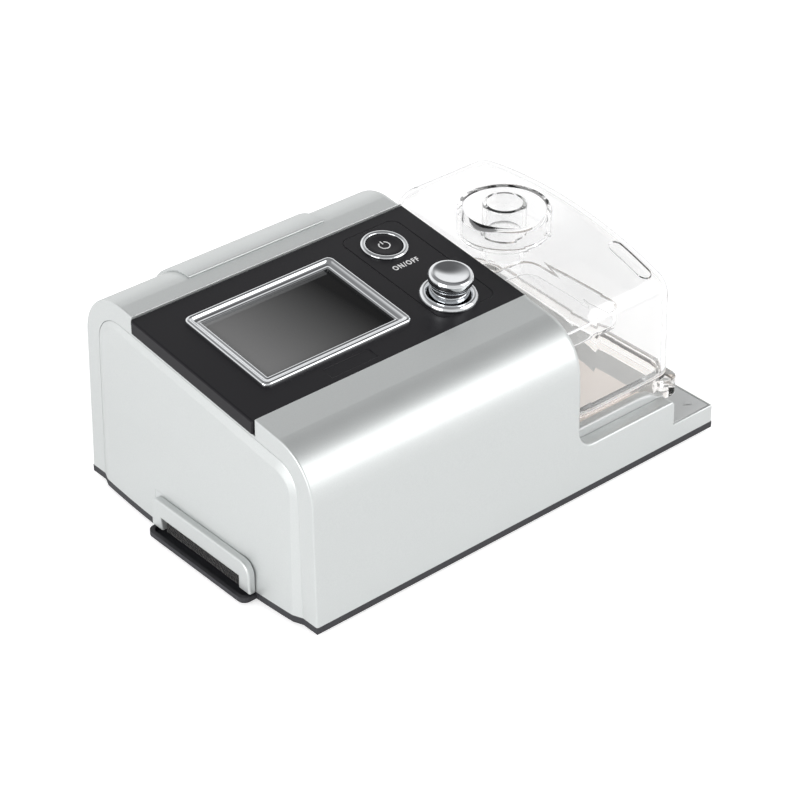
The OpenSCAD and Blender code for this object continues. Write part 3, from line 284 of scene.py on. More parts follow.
def filter_foam_material():
    """Open-cell polyurethane foam: black struts round pores of about 1 mm, with dust in some of them."""
    material = new_material("open_cell_foam")
    place = object_place(material)
    pores = add_node(material, "ShaderNodeTexVoronoi", {"Scale": per_metre(1.1)}, place)
    dust = add_node(material, "ShaderNodeTexNoise", {"Scale": per_metre(1.6), "Detail": 4.0}, place)
    chosen = add_node(material, "ShaderNodeMapRange", {"From Min": 0.56, "From Max": 0.72},
                      {"Value": dust.outputs[0]})
    tone = two_tone(material, "#0e0e0f", "#3a342f", chosen.outputs[0])
    relief = relief_of(material, pores.outputs[0], 0.0006)
    surface = add_node(material, "ShaderNodeBsdfPrincipled",
                       {"Roughness": 0.95, "IOR": 1.45, "Sheen Weight": 0.15},
                       {"Base Color": tone, "Normal": relief})
    return shown(material, surface)


def circuit_board():
    """Glass-epoxy board under green solder mask: copper tracks show as lighter lines."""
    material = new_material("solder_masked_board")
    place = object_place(material)
    tracks = add_node(material, "ShaderNodeTexBrick",
                      {"Scale": per_metre(12), "Mortar Size": 0.03, "Mortar": linear("#4a9063"),
                       "Color1": linear("#2a6a45"), "Color2": linear("#276341")}, place)
    surface = add_node(material, "ShaderNodeBsdfPrincipled", {"Roughness": 0.35, "IOR": 1.5},
                       {"Base Color": tracks.outputs[0]})
    return shown(material, surface)


def windings():
    """Enamelled copper wire wound round a stator: rings of wire, each about 1 mm."""
    material = new_material("copper_windings")
    place = object_place(material)
    wires = add_node(material, "ShaderNodeTexWave",
                     {"bands_direction": "Z", "Scale": per_metre(1.0) / 6.28, "Distortion": 0.4}, place)
    tone = two_tone(material, "#7c4526", "#c07a48", wires.outputs[1])
    relief = relief_of(material, wires.outputs[1], 0.0003)
    surface = add_node(material, "ShaderNodeBsdfPrincipled", {"Metallic": 0.85, "Roughness": 0.3},
                       {"Base Color": tone, "Normal": relief})
    return shown(material, surface)


MAKERS = {
    "silver": silver_paint,
    "satin_black": satin_black,
    "base_black": base_black,
    "chrome": chrome_plate,
    "screen_glass": screen_glass,
    "foam": filter_foam_material,
    "board_green": circuit_board,
    "motor": windings,
    # bright steel sheet and wire, a little streaky
    "steel": lambda: grained("plain_steel", "#b4b7ba", "#a4a7ab", 1.5, 0.32, 0.08, 0.01,
                             **{"Metallic": 1.0}),
    # glass-filled polyamide, milky with a dry surface
    "white_plastic": lambda: grained("natural_polyamide", "#dcdcd6", "#d3d3cc", 0.8, 0.5, 0.05, 0.03),
    # cast silicone, matt and slightly soft to the eye
    "silicone": lambda: grained("cast_silicone", "#bcc0c2", "#b3b7b9", 1.0, 0.55, 0.05, 0.03,
                                **{"Subsurface Weight": 0.1}),
    # grey ABS tray, satin with a fine mould grain
    "grey_plastic": lambda: grained("satin_grey_abs", "#c9cbcb", "#bfc1c1", 0.6, 0.38, 0.04, 0.02,
                                    **{"Metallic": 0.3}),
    # drawn aluminium with a satin surface
    "alloy": lambda: grained("satin_aluminium", "#f6efe9", "#ede5df", 0.8, 0.45, 0.06, 0.01,
                             **{"Metallic": 0.45}),
    # amber polyimide film over heater tracks
    "film": lambda: grained("polyimide_film", "#c2812f", "#b37327", 1.2, 0.25, 0.05, 0.01),
    # soft milky silicone
    "seal": lambda: grained("seal_silicone", "#e9e3df", "#e2dbd7", 1.0, 0.5, 0.05, 0.02,
                            **{"Subsurface Weight": 0.15}),
    # moulded rubber feet, matt
    "rubber": lambda: grained("moulded_rubber", "#232325", "#1b1b1d", 0.7, 0.8, 0.05, 0.06),
    # clear acrylic; the tub's index is set below acrylic's 1.49, which keeps its thick walls light
    "clear": lambda: clear_plastic("clear_acrylic", chamber().clear, chamber().edge, 0.03),
    "clear_tub": lambda: clear_plastic("clear_tub_acrylic", chamber().tub, chamber().edge, 0.06, bend=1.25),
    # screen-printed ink, flat and light grey
    "ink": lambda: grained("printed_ink", panel().lettering, "#e2e2e2", 0.4, 0.6, 0.05, 0.004),
}
made = {}


def material_for(key):
    """The material of a finish, made at its first use."""
    if key not in made:
        made[key] = MAKERS[key]()
    return made[key]


def case():
    """Settings of the case; the next three give those of the panel, the chamber and the stage."""
    return bpy.context.scene.pap_case


def panel():
    return bpy.context.scene.pap_panel


def chamber():
    return bpy.context.scene.pap_chamber


def stage():
    return bpy.context.scene.pap_stage


def piece(name, bm, finish, body, sharp=30.0, smooth=True):
    """Makes a finished object from a bmesh that is in the frame's metres, and hangs it on a body."""
    mesh = bpy.data.meshes.new(name)
    bm.to_mesh(mesh)
    bm.free()
    obj = bpy.data.objects.new(name, mesh)
    bpy.context.scene.collection.objects.link(obj)
    mesh.materials.append(material_for(finish))
    if smooth:
        mesh.polygons.foreach_set("use_smooth", [True] * len(mesh.polygons))
        mesh.set_sharp_from_angle(angle=math.radians(sharp))
    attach(obj, body)
    return obj


def weigh(obj):
    """Lets large faces set the shading of the soft edges between them."""
    modifier = obj.modifiers.new("even_shading", "WEIGHTED_NORMAL")
    modifier.keep_sharp = True
    modifier.weight = 100
    return obj


def dress(node, finish, rule=0.3, segments=3, sharp=30.0, least=20.0):
    """Copies a CAD node and rounds its edges. The rule is a width in mm, or a function of an edge's
    middle in the hood's mm and its bmesh edge that gives one."""
    bm = bmesh.new()
    bm.from_mesh(frame["nodes"][node].data)
    bmesh.ops.remove_doubles(bm, verts=bm.verts[:], dist=2e-6)
    bmesh.ops.dissolve_limit(bm, angle_limit=math.radians(0.4), use_dissolve_boundaries=False,
                             verts=bm.verts[:], edges=bm.edges[:])
    weights = bm.edges.layers.float.new("bevel_weight_edge")
    widths = {}
    for edge in bm.edges:
        if len(edge.link_faces) != 2 or edge.calc_face_angle(0) < math.radians(least):
            continue
        middle = TO_HOOD @ ((edge.verts[0].co + edge.verts[1].co) / 2)
        width = rule(middle, edge) if callable(rule) else (rule if edge.is_convex else 0)
        if width:
            widths[edge] = width
    widest = max(widths.values(), default=0)
    for edge, width in widths.items():
        edge[weights] = width / widest
    obj = piece("dressed_" + node, bm, finish, body_of[node], sharp)
    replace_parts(obj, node)
    if widest:
        modifier = obj.modifiers.new("soft_edges", "BEVEL")
        modifier.limit_method = "WEIGHT"
        modifier.width = widest * 0.001
        modifier.segments = segments
        modifier.profile = 0.5
        modifier.use_clamp_overlap = False
        modifier.miter_outer = "MITER_ARC"
    return weigh(obj)


def convex(width_at):
    """A rule for outer edges alone, whose width depends on where the edge's middle lies."""
    return lambda m, edge: width_at(m) if edge.is_convex else 0


def settle(bm, matrix):
    """Merges doubles, turns the faces outwards and brings a shape from its own mm to the frame."""
    bmesh.ops.remove_doubles(bm, verts=bm.verts[:], dist=1e-4)
    bmesh.ops.recalc_face_normals(bm, faces=bm.faces[:])
    bmesh.ops.transform(bm, matrix=matrix, verts=bm.verts[:])


def turned(profile, place, steps=96):
    """A closed outline of radius and height, spun about an axis out of the panel."""
    bm = bmesh.new()
    points = [bm.verts.new((r, 0, z)) for r, z in profile]
    edges = [bm.edges.new(pair) for pair in zip(points, points[1:])]
    if profile[0][0] > 0 and profile[-1][0] > 0:
        edges.append(bm.edges.new((points[-1], points[0])))
    bmesh.ops.spin(bm, geom=points + edges, cent=(0, 0, 0), axis=(0, 0, 1), angle=math.tau, steps=steps,
                   use_merge=True)
    settle(bm, PANEL @ Matrix.Translation((*place, 0)))
    return bm


def rounded(profile, radius, steps=4):
    """Rounds the corners of an outline of (r, z) points, except its first and last."""
    out = [profile[0]]
    for before, here, after in zip(profile, profile[1:], profile[2:]):
        b, h, a = Vector(before), Vector(here), Vector(after)
        reach = min(radius, (b - h).length * 0.45, (a - h).length * 0.45)
        start, end = h + (b - h).normalized() * reach, h + (a - h).normalized() * reach
        for k in range(steps + 1):
            t = k / steps
            out.append(tuple(start * (1 - t) ** 2 + h * 2 * t * (1 - t) + end * t * t))
    return out + [profile[-1]]


def ring(bm, centre, length, depth, radius, height, steps=6):
    """Vertices in order round a rectangle with round corners, at a height in the panel's mm."""
    out = []
    for k, (side, end) in enumerate(((1, 1), (-1, 1), (-1, -1), (1, -1))):
        x = centre[0] + side * (length / 2 - radius)
        y = centre[1] + end * (depth / 2 - radius)
        mid = Vector((x, y, height))
        for i in range(steps + 1):
            turn = math.radians(90 * (k + i / steps))
            out.append(bm.verts.new(mid + Vector((math.cos(turn), math.sin(turn), 0)) * radius))
    return out


def skin(bm, rings, hollow=False):
    """Joins rings of vertices in order. A hollow shape runs back to the first ring, any other is capped."""
    for low, high in zip(rings, rings[1:] + (rings[:1] if hollow else [])):
        for i in range(len(low)):
            j = (i + 1) % len(low)
            bm.faces.new((low[i], low[j], high[j], high[i]))
    if not hollow:
        bm.faces.new(rings[0][::-1])
        bm.faces.new(rings[-1])


def bezel_mesh():
    """The screen's chrome frame: a rounded outer ridge, a slope inwards, and a thin lip at the glass."""
    ridge = panel().ridge
    profile = [(0.0, 0.0), (0.0, 0.9), (0.25, 1.35), (0.7, ridge - 0.1), (1.3, ridge), (1.9, ridge - 0.15),
               (2.3, ridge - 0.5), (2.9, 0.5), (3.9, 0.1), (4.6, 0.0), (5.2, 0.15), (5.7, 0.15),
               (6.1, -0.15), (6.15, -1.75)]
    bm = bmesh.new()
    skin(bm, [ring(bm, SCREEN, 87.8 - 2 * inset, 61.2 - 2 * inset, max(0.5, 3.2 - inset * 0.45), height)
              for inset, height in profile], hollow=True)
    settle(bm, PANEL)
    return bm


class PAP_OT_case(bpy.types.Operator):
    """Silver top shell, rear cover and black base"""
    bl_idname = "pap.case"
    bl_label = "Case"

    def execute(self, context):
        end_round, crisp = case().end_round, case().crisp_round
        rail_top = 29.3

        def end_width(m, on_panel_edge):
            """The right end wall. Its edges share one width: faces cross where edges in line differ."""
            if on_panel_edge:
                return TIGHT
            round_port = (m.yz - Vector((PORT_Y, PORT_Z))).length < 14
            return 0 if round_port else end_round

        def bay_width(m):
            """Rails and skirt round the humidifier bay. The rails' arcs swell up to the end wall."""
            outside = m.y < 8.2 or m.y > 152.8 or m.x > 228.2
            if not outside:
                return 0
            if m.z > 28 and 4 < m.y < 168:
                return 0.4
            if m.x < 173 and m.z > rail_top + 0.2:
                return RAIL_ROUND + (end_round - RAIL_ROUND) * ((m.z - rail_top) / 9) ** 2
            return RAIL_ROUND if m.z > 28 else 0.7

        def shell_rule(m, edge):
            if not edge.is_convex:
                return 0
            slope = PANEL_Z + (m.y - PANEL_Y) * math.tan(math.radians(PANEL_TILT))
            on_panel_edge = 40 < m.y < 133 and m.z > slope - 12
            on_end_wall = abs(m.x - HOOD_END) < 0.02 and m.z > 38.5
            if on_end_wall and any(abs(face.normal.x) > 0.99 for face in edge.link_faces):
                return end_width(m, on_panel_edge)
            inside = 2.3 < m.x < 161.7 and 2.2 < m.y < 169 and m.z < slope - 1.5
            if inside or m.z < 6.2:
                return 0
            if on_panel_edge:
                return TIGHT
            if m.x < 0.05:
                outline = abs(m.x) < 0.02 and (m.y < 1.9 or m.y > 165 or m.z > slope - 40)
                return crisp if outline else 0.5
            return bay_width(m) if m.x > HOOD_END and m.z < 40 else 0

        def cover_rule(m, edge):
            """The rear cover's two thin ends stand 41 mm from its middle at 81."""
            return 0.2 if abs(abs(m.x - 81) - 41) < 0.1 else 0.7

        dress("top_shell", "silver", rule=shell_rule, segments=5, sharp=17, least=14)
        dress("rear_cover", "silver", rule=cover_rule)
        dress("base_shell", "base_black", rule=convex(lambda m: 0.5 if m.z < 2.2 else 0))
        dress("rubber_feet", "rubber", rule=0.5)
        dress("housing_screws", "steel", rule=0.2)
        return {"FINISHED"}


class PAP_OT_filter(bpy.types.Operator):
    """Filter cover and the black foam behind it"""
    bl_idname = "pap.filter"
    bl_label = "Air filter"

    def execute(self, context):
        dress("filter_cover", "silver", rule=convex(lambda m: 1.0 if m.x < -7.5 else TIGHT), segments=4)
        low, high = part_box("filter_foam")
        pore, dent = 0.0009, 0.0006
        bm = bmesh.new()
        bmesh.ops.create_cube(bm, size=1.0)
        size = high - low
        bmesh.ops.scale(bm, vec=size * 0.99, verts=bm.verts[:])
        bmesh.ops.translate(bm, vec=(low + high) / 2, verts=bm.verts[:])
        for axis in range(3):
            cuts = max(1, round(size[axis] / pore))
            along = [e for e in bm.edges if abs((e.verts[0].co - e.verts[1].co).normalized()[axis]) > 0.9]
            bmesh.ops.subdivide_edges(bm, edges=along, cuts=cuts, use_grid_fill=True)
        centre = (low + high) / 2
        for vert in bm.verts:
            depth = 0.5 + 0.5 * noise.noise(vert.co * 1400)
            vert.co += (centre - vert.co).normalized() * depth * dent
        foam = piece("filter_foam_block", bm, "foam", "filter", sharp=180)
        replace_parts(foam, "filter_foam")
        return {"FINISHED"}


class PAP_OT_panel(bpy.types.Operator):
    """Black control panel, key plate, bezel and screen"""
    bl_idname = "pap.panel"
    bl_label = "Control panel"

    def execute(self, context):
        dress("control_panel", "satin_black", rule=convex(lambda m: 0.9 if m.x < 1 else 0.35))
        dress("key_plate", "satin_black", rule=0.35)
        bezel = piece("screen_bezel", bezel_mesh(), "chrome", "housing", sharp=40)
        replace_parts(bezel, "lcd_bezel")
        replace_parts(piece("screen_plate", self.plate(), "screen_glass", "housing"), "lcd_glass")
        dress("lcd_module", "steel", rule=0.4)
        dress("display_board", "board_green", rule=0.2)
        return {"FINISHED"}

    def plate(self):
        """The screen's glass: a flat plate with a ground edge."""
        bm = bmesh.new()
        skin(bm, [ring(bm, SCREEN, 83.4 - 2 * inset, 56.8 - 2 * inset, 0.6, height)
                  for inset, height in ((0.0, -3.0), (0.0, -1.95), (0.15, -1.8))])
        settle(bm, PANEL)
        return bm


class PAP_OT_power_key(bpy.types.Operator):
    """Power button with its chrome ring, symbol and lettering"""
    bl_idname = "pap.power_key"
    bl_label = "Power key"

    def execute(self, context):
        outline = [(9.2, -3.0), (9.2, 1.1), (9.9, 1.6), (11.0, 1.6), (11.8, 0.9), (11.8, 0.0), (10.2, 0.0),
                   (10.2, -3.0)]
        collar = turned(rounded(outline, 0.35), POWER)
        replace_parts(piece("power_key_ring", collar, "chrome", "housing"), "power_ring")
        stem = min((TO_PANEL @ v.co).z for v in frame["nodes"]["power_button"].data.vertices)
        button = turned([(0, 0.55), (3, 0.57), (5, 0.65), (6.6, 0.8)] + rounded(
            [(7.6, 0.9), (8.9, 0.9), (8.9, -2), (2, -2), (2, stem), (0, stem)], 0.3)[1:], POWER)
        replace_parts(piece("power_key_button", button, "satin_black", "power_button"), "power_button")
        self.symbol()
        self.words()
        dress("button_switch", "steel", rule=0.2)
        return {"FINISHED"}

    def symbol(self):
        """The usual power sign: an open ring with a bar in its gap."""
        bm = bmesh.new()
        section = ((2.45, 0.5), (3.05, 0.5), (3.05, 0.62), (2.45, 0.62))
        corners = [bm.verts.new((r, 0, z)) for r, z in section]
        face = bm.faces.new(corners)
        bmesh.ops.rotate(bm, cent=(0, 0, 0), matrix=Matrix.Rotation(math.radians(120), 3, "Z"),
                         verts=corners)
        end = bmesh.ops.spin(bm, geom=[face] + list(face.edges) + corners, cent=(0, 0, 0), axis=(0, 0, 1),
                             angle=math.radians(300), steps=40)["geom_last"]
        if not end:
            raise RuntimeError("the power sign has no end")
        bar = bmesh.ops.create_cube(bm, size=1.0)["verts"]
        bmesh.ops.scale(bm, vec=(0.6, 2.6, 0.12), verts=bar)
        bmesh.ops.translate(bm, vec=(0, 2.2, 0.56), verts=bar)
        settle(bm, PANEL @ Matrix.Translation((*POWER, 0.02)))
        piece("power_key_symbol", bm, "ink", "power_button", smooth=False)

    def words(self):
        """ON/OFF as thin printed letters, made a mesh before it is placed."""
        curve = bpy.data.curves.new("on_off", "FONT")
        curve.body = "ON/OFF"
        curve.extrude = 0.02
        curve.offset = 0.03
        curve.space_character = 1.3
        text = bpy.data.objects.new("on_off", curve)
        bpy.context.scene.collection.objects.link(text)
        bpy.context.view_layer.update()
        mesh = bpy.data.meshes.new_from_object(text.evaluated_get(bpy.context.evaluated_depsgraph_get()))
        bpy.data.objects.remove(text)
        bm = bmesh.new()
        bm.from_mesh(mesh)
        xs = [v.co.x for v in bm.verts]
        ys = [v.co.y for v in bm.verts]
        tall = panel().letter_height / (max(ys) - min(ys))
        wide = WORDS_LENGTH / (max(xs) - min(xs))
        grow = Matrix.Diagonal((wide, tall, 1, 1)) @ Matrix.Translation((-min(xs), -min(ys), 0))
        bmesh.ops.transform(bm, matrix=grow, verts=bm.verts[:])
        bmesh.ops.transform(bm, matrix=PANEL @ Matrix.Translation((*WORDS, 0.03)), verts=bm.verts[:])
        piece("on_off_words", bm, "ink", "housing", smooth=False)


class PAP_OT_knob(bpy.types.Operator):
    """Chrome knob with its collar and encoder"""
    bl_idname = "pap.knob"
    bl_label = "Knob"

    def execute(self, context):
        dish = [(0, 13.0), (1.5, 13.03), (3, 13.13), (4.5, 13.3), (5.8, 13.51), (6.8, 13.7), (7.6, 13.88)]
        skirt = [(8.2, 14.0), (8.9, 14.0), (10.2, 13.5), (10.9, 12.2), (10.9, 9.6), (10.3, 8.6), (9.8, 7.4),
                 (9.8, 1.1), (7.8, 1.1), (7.8, 8.0), (6.0, 8.0), (6.0, 3.4), (3.05, 3.4), (3.05, 11.0),
                 (0, 11.0)]
        cap = turned(dish + rounded(skirt, 0.5)[1:], KNOB)
        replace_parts(piece("chrome_knob", cap, "chrome", "knob", sharp=35), "knob")
        outline = [(10.3, 0.0), (14.3, 0.0), (14.3, 0.9), (13.9, 1.9), (12.9, 2.8), (11.7, 2.8),
                   (10.5, 1.6), (10.3, 0.0)]
        collar = turned(rounded(outline, 0.4)[:-1], KNOB)
        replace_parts(piece("chrome_collar", collar, "chrome", "housing", sharp=35), "knob_collar")
        dress("encoder_body", "steel", rule=0.2)
        dress("encoder_shaft", "steel", rule=0.2)
        return {"FINISHED"}


class PAP_OT_humidifier(bpy.types.Operator):
    """Tray, latch plate, heater and springs of the humidifier"""
    bl_idname = "pap.humidifier"
    bl_label = "Humidifier tray"

    def execute(self, context):
        def tray_rule(m, edge):
            if not edge.is_convex or m.z < 29.35:
                return 0
            beside_rail = abs(m.y - 8.1) < 0.03 or abs(m.y - 152.9) < 0.03
            return min(2.0, 0.35 + 0.33 * (m.z - 29.3)) if beside_rail else 0.4

        dress("chamber_tray", "grey_plastic", rule=tray_rule, segments=5)
        dress("latch_plate", "grey_plastic", rule=convex(lambda m: 0.5 if 15 < m.z < 15.6 else 0))
        dress("heater_plate", "alloy", rule=0.5)
        dress("heater_film", "film", rule=0.1)
        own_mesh(dress("heater_springs", "steel", rule=0.0))
        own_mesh(dress("latch_springs", "steel", rule=0.0))
        return {"FINISHED"}


def solid_object(name, bm):
    """A helper solid for cutting; it leaves the scene once it has been used."""
    bmesh.ops.recalc_face_normals(bm, faces=bm.faces[:])
    mesh = bpy.data.meshes.new(name)
    bm.to_mesh(mesh)
    bm.free()
    obj = bpy.data.objects.new(name, mesh)
    bpy.context.scene.collection.objects.link(obj)
    return obj


def rod(name, base, outline, axis="Z", steps=128):
    """A round solid in the hood's mm: a closed outline of (radius, height) spun about z or x at base."""
    bm = bmesh.new()
    points = [bm.verts.new((r, 0, z)) for r, z in outline]
    edges = [bm.edges.new(pair) for pair in zip(points, points[1:])]
    if outline[0][0] > 0:
        edges.append(bm.edges.new((points[-1], points[0])))
    bmesh.ops.spin(bm, geom=points + edges, cent=(0, 0, 0), axis=(0, 0, 1), angle=math.tau, steps=steps,
                   use_merge=True)
    bmesh.ops.remove_doubles(bm, verts=bm.verts[:], dist=1e-4)
    turn = Matrix.Rotation(math.radians(90), 4, "Y") if axis == "X" else Matrix.Identity(4)
    bmesh.ops.transform(bm, matrix=Matrix.Translation(base) @ turn, verts=bm.verts[:])
    return solid_object(name, bm)


def post(radius, length, foot=0.0):
    """Outline of a plain round post, whose lower edge may be rounded."""
    if not foot:
        return [(0, 0), (radius, 0), (radius, length), (0, length)]
    arc = [(radius - foot + foot * math.sin(math.radians(a)),
            foot - foot * math.cos(math.radians(a))) for a in range(0, 91, 15)]
    return [(0, 0)] + arc + [(radius, length), (0, length)]


def carve(obj, steps):
    """Applies cuts and joins in turn and gives the finished bmesh; the helpers are removed."""
    for operation, other in steps:
        modifier = obj.modifiers.new(operation.lower(), "BOOLEAN")
        modifier.operation = operation
        modifier.solver = "EXACT"
        modifier.object = other
    bpy.context.view_layer.update()
    mesh = bpy.data.meshes.new_from_object(obj.evaluated_get(bpy.context.evaluated_depsgraph_get()))
    bm = bmesh.new()
    bm.from_mesh(mesh)
    bpy.data.meshes.remove(mesh)
    for helper in [obj] + [other for _, other in steps]:
        bpy.data.objects.remove(helper)
    return bm


# The dome in the hood's mm: its reach, the radius of its corners at the top and at the foot, and the
# arch that the balls' middles follow (y, z and radius) between two angles in degrees.
DOME_X = (166.0, 236.5)
DOME_Y = (8.5, 151.0)
DOME_R = 15.0
DOME_FOOT_R = 12.0
DOME_FOOT_Z = 41.8
ARCH = (102.73, -129.68, 226.77)
ARCH_ENDS = (20.43, -7.59)
# The middle of the air outlet and its cup, the y of the moulding gate's mark, and their sizes.
PORT = (197.2, 92.3)
GATE = 61.7
DOME_WALL = 2.2
CUP_R = 20.9
CUP_DEPTH = 14
OUTLET_R = 11
OUTLET_RISE = 1.7


def dome_top(y):
    """Height of the dome's skin above a y, in the hood's mm."""
    return ARCH[1] + math.sqrt((ARCH[2] + DOME_R) ** 2 - (y - ARCH[0]) ** 2)


def pillow(name, inset, bottom):
    """Closed solid of the clear dome at an inset from its skin: upright walls that end in balls of
    DOME_R, which run along an arch from front to back."""
    radius = DOME_R - inset
    across, along, corner, walls, roll = 12, 48, 14, 8, 16
    left, right = DOME_X[0] + DOME_R, DOME_X[1] - DOME_R

    def station(t):
        angle = math.radians(ARCH_ENDS[0] + (ARCH_ENDS[1] - ARCH_ENDS[0]) * t)
        out = Vector((0, -math.sin(angle), math.cos(angle)))
        return Vector((0, ARCH[0], ARCH[1])) + out * ARCH[2], out

    def foot(core, direction):
        foot_r = DOME_FOOT_R - inset
        share = (core.y - (DOME_Y[0] + DOME_R)) / (station(1)[0].y - (DOME_Y[0] + DOME_R))
        x = DOME_X[0] + DOME_FOOT_R if core.x < left + 0.01 else core.x
        x = DOME_X[1] - DOME_FOOT_R if core.x > right - 0.01 else x
        y = DOME_Y[0] + DOME_FOOT_R + share * (DOME_Y[1] - DOME_Y[0] - 2 * DOME_FOOT_R)
        return Vector((x, y, bottom)) + direction * foot_r

    ring = []
    for j in range(along + 1):
        core, out = station(j / along)
        ring.append((Vector((right, core.y, core.z)), Vector((1, 0, 0)), out))
    for start, x, t in ((0, right, 1), (90, left, 1), (180, left, 0), (270, right, 0)):
        core, out = station(t)
        core.x = x
        for k in range(1, corner + 1):
            turn = math.radians(start + 90 * k / corner)
            ring.append((core.copy(), Vector((math.cos(turn), math.sin(turn), 0)), out))
        if start == 0:
            for i in range(1, across + 1):
                ring.append((Vector((right + (left - right) * i / across, core.y, core.z)),
                             Vector((0, 1, 0)), out))
        elif start == 90:
            for j in range(1, along + 1):
                side, lift = station(1 - j / along)
                ring.append((Vector((left, side.y, side.z)), Vector((-1, 0, 0)), lift))
        elif start == 180:
            for i in range(1, across + 1):
                ring.append((Vector((left + (right - left) * i / across, core.y, core.z)),
                             Vector((0, -1, 0)), out))
    ring.pop()
    bm = bmesh.new()
    levels = []
    for k in range(walls):
        levels.append([bm.verts.new(foot(c, d).lerp(c + d * radius, k / walls)) for c, d, n in ring])
    for k in range(roll + 1):
        t = k / roll
        level = []
        for c, d, n in ring:
            angle = d.angle(n)
            way = (d * math.sin((1 - t) * angle) + n * math.sin(t * angle)) / math.sin(angle)
            level.append(bm.verts.new(c + way * radius))
        levels.append(level)
    count = len(ring)
    for low, high in zip(levels, levels[1:]):
        for i in range(count):
            bm.faces.new((low[i], low[(i + 1) % count], high[(i + 1) % count], high[i]))
    bm.faces.new(levels[0][::-1])
    grid = []
    for j in range(along + 1):
        core, out = station(j / along)
        grid.append([bm.verts.new((left + (right - left) * i / across, core.y + out.y * radius,
                                   core.z + out.z * radius))
                     for i in range(across + 1)])
    for near, far in zip(grid, grid[1:]):
        for i in range(across):
            bm.faces.new((near[i], near[i + 1], far[i + 1], far[i]))
    bmesh.ops.remove_doubles(bm, verts=bm.verts[:], dist=1e-3)
    return solid_object(name, bm)


def oblong(name, x, y, z):
    """An upright solid with an oblong plan."""
    bm = bmesh.new()
    r = (x[1] - x[0]) / 2
    plan = []
    for start, middle in ((0, y[1] - r), (math.pi, y[0] + r)):
        for k in range(49):
            turn = start + math.pi * k / 48
            plan.append((x[0] + r + r * math.cos(turn), middle + r * math.sin(turn)))
    low = [bm.verts.new((px, py, z[0])) for px, py in plan]
    high = [bm.verts.new((px, py, z[1])) for px, py in plan]
    bm.faces.new(low[::-1])
    bm.faces.new(high)
    for i in range(len(plan)):
        j = (i + 1) % len(plan)
        bm.faces.new((low[i], low[j], high[j], high[i]))
    return solid_object(name, bm)


class PAP_OT_dome(bpy.types.Operator):
    """Clear arched dome with its cup, air outlet, duct, spout and finger recess"""
    bl_idname = "pap.dome"
    bl_label = "Clear dome"

    def execute(self, context):
        x, y = PORT
        rim = dome_top(y)
        floor = rim - CUP_DEPTH
        tube = rim + OUTLET_RISE - floor - 2
        gate = dome_top(GATE)
        wall = DOME_WALL
        outlet = [(0, 0), (OUTLET_R, 0), (OUTLET_R, tube - 0.8), (10.75, tube - 0.25), (10.2, tube),
                  (0, tube)]
        cup = [(OUTLET_R, 0), (19.4, 0), (20.2, 0.25), (20.7, 0.8), (CUP_R, 1.5), (CUP_R, 60),
               (OUTLET_R, 60)]
        inside = carve(pillow("inside", wall, DOME_FOOT_Z - 1), [
            ("DIFFERENCE", rod("cup_column", (x, y, floor - wall), post(CUP_R + wall, 60, foot=3.6))),
            ("DIFFERENCE", rod("duct_wall", (x, y, floor - 14), post(BORE_R + wall, 20))),
            ("DIFFERENCE", rod("spout_wall", (160, PORT_Y, PORT_Z), post(BORE_R + wall, 22), "X")),
        ])
        recess = carve(oblong("finger", (216.9, 224.9), (16.1, 41.9), (80, 140)), [
            ("DIFFERENCE", pillow("finger_floor", 1.0, DOME_FOOT_Z)),
        ])
        dome = carve(pillow("outside", 0.0, DOME_FOOT_Z), [
            ("UNION", rod("outlet", (x, y, floor + 2), outlet)),
            ("UNION", rod("gate_ring", (x, GATE, gate - 0.5), post(2.0, 0.9))),
            ("DIFFERENCE", solid_object("hollow", inside)),
            ("DIFFERENCE", rod("cup", (x, y, floor), cup)),
            ("DIFFERENCE", rod("outlet_bore", (x, y, floor - 16), post(BORE_R, 60))),
            ("DIFFERENCE", rod("spout_bore", (158, PORT_Y, PORT_Z), post(BORE_R, 30), "X")),
            ("DIFFERENCE", rod("gate_pit", (x, GATE, gate - 0.3), post(1.2, 3))),
            ("DIFFERENCE", solid_object("recess", recess)),
        ])
        if len(dome.faces) < 2000:
            raise RuntimeError("the dome lost its faces while it was cut")
        bmesh.ops.transform(dome, matrix=HOOD, verts=dome.verts[:])
        shell = piece("clear_dome", dome, "clear", "dome", sharp=32)
        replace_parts(shell, "chamber_dome")
        weigh(shell)
        dress("chamber_deck", "clear", rule=0.5)
        return {"FINISHED"}


class PAP_OT_chamber(bpy.types.Operator):
    """Clear tub of the water chamber, with its seal and metal base"""
    bl_idname = "pap.chamber"
    bl_label = "Water tub"

    def execute(self, context):
        def tub_rule(m, edge):
            """The grip lip's top edge softens towards the right, and its underside at z 25 stays sharp."""
            if not edge.is_convex or abs(m.z - 25) <= 0.5:
                return 0
            toward_grip = min(1, max(0, (m.x - 230) / 10)) if 34 < m.z < 35 else 0
            return TIGHT + 0.9 * toward_grip

        dress("chamber_tub", "clear_tub", rule=tub_rule, segments=4, sharp=25)
        dress("chamber_base", "alloy", rule=0.4)
        dress("chamber_seal", "seal", rule=0.1)
        return {"FINISHED"}


class PAP_OT_inside(bpy.types.Operator):
    """Blower, sound box and boards inside the case"""
    bl_idname = "pap.inside"
    bl_label = "Inner parts"

    def execute(self, context):
        for node, finish, width in (
            ("muffler_box", "white_plastic", 0.8),
            ("muffler_foam", "foam", 0.8),
            ("lower_volute", "white_plastic", 0.5),
            ("upper_volute", "white_plastic", 0.5),
            ("impeller", "white_plastic", 0.1),
            ("motor_shaft", "steel", 0.2),
            ("motor_bearings", "steel", 0.2),
            ("motor_stator", "motor", 0.6),
            ("blower_mounts", "silicone", 0.8),
            ("outlet_coupling", "silicone", 0.5),
            ("main_board", "board_green", 0.2),
            ("power_inlet", "satin_black", 0.4),
            ("card_socket", "steel", 0.3),
            ("data_card", "satin_black", 0.3),
            ("board_screws", "steel", 0.2),
        ):
            dress(node, finish, rule=width, segments=2)
        return {"FINISHED"}


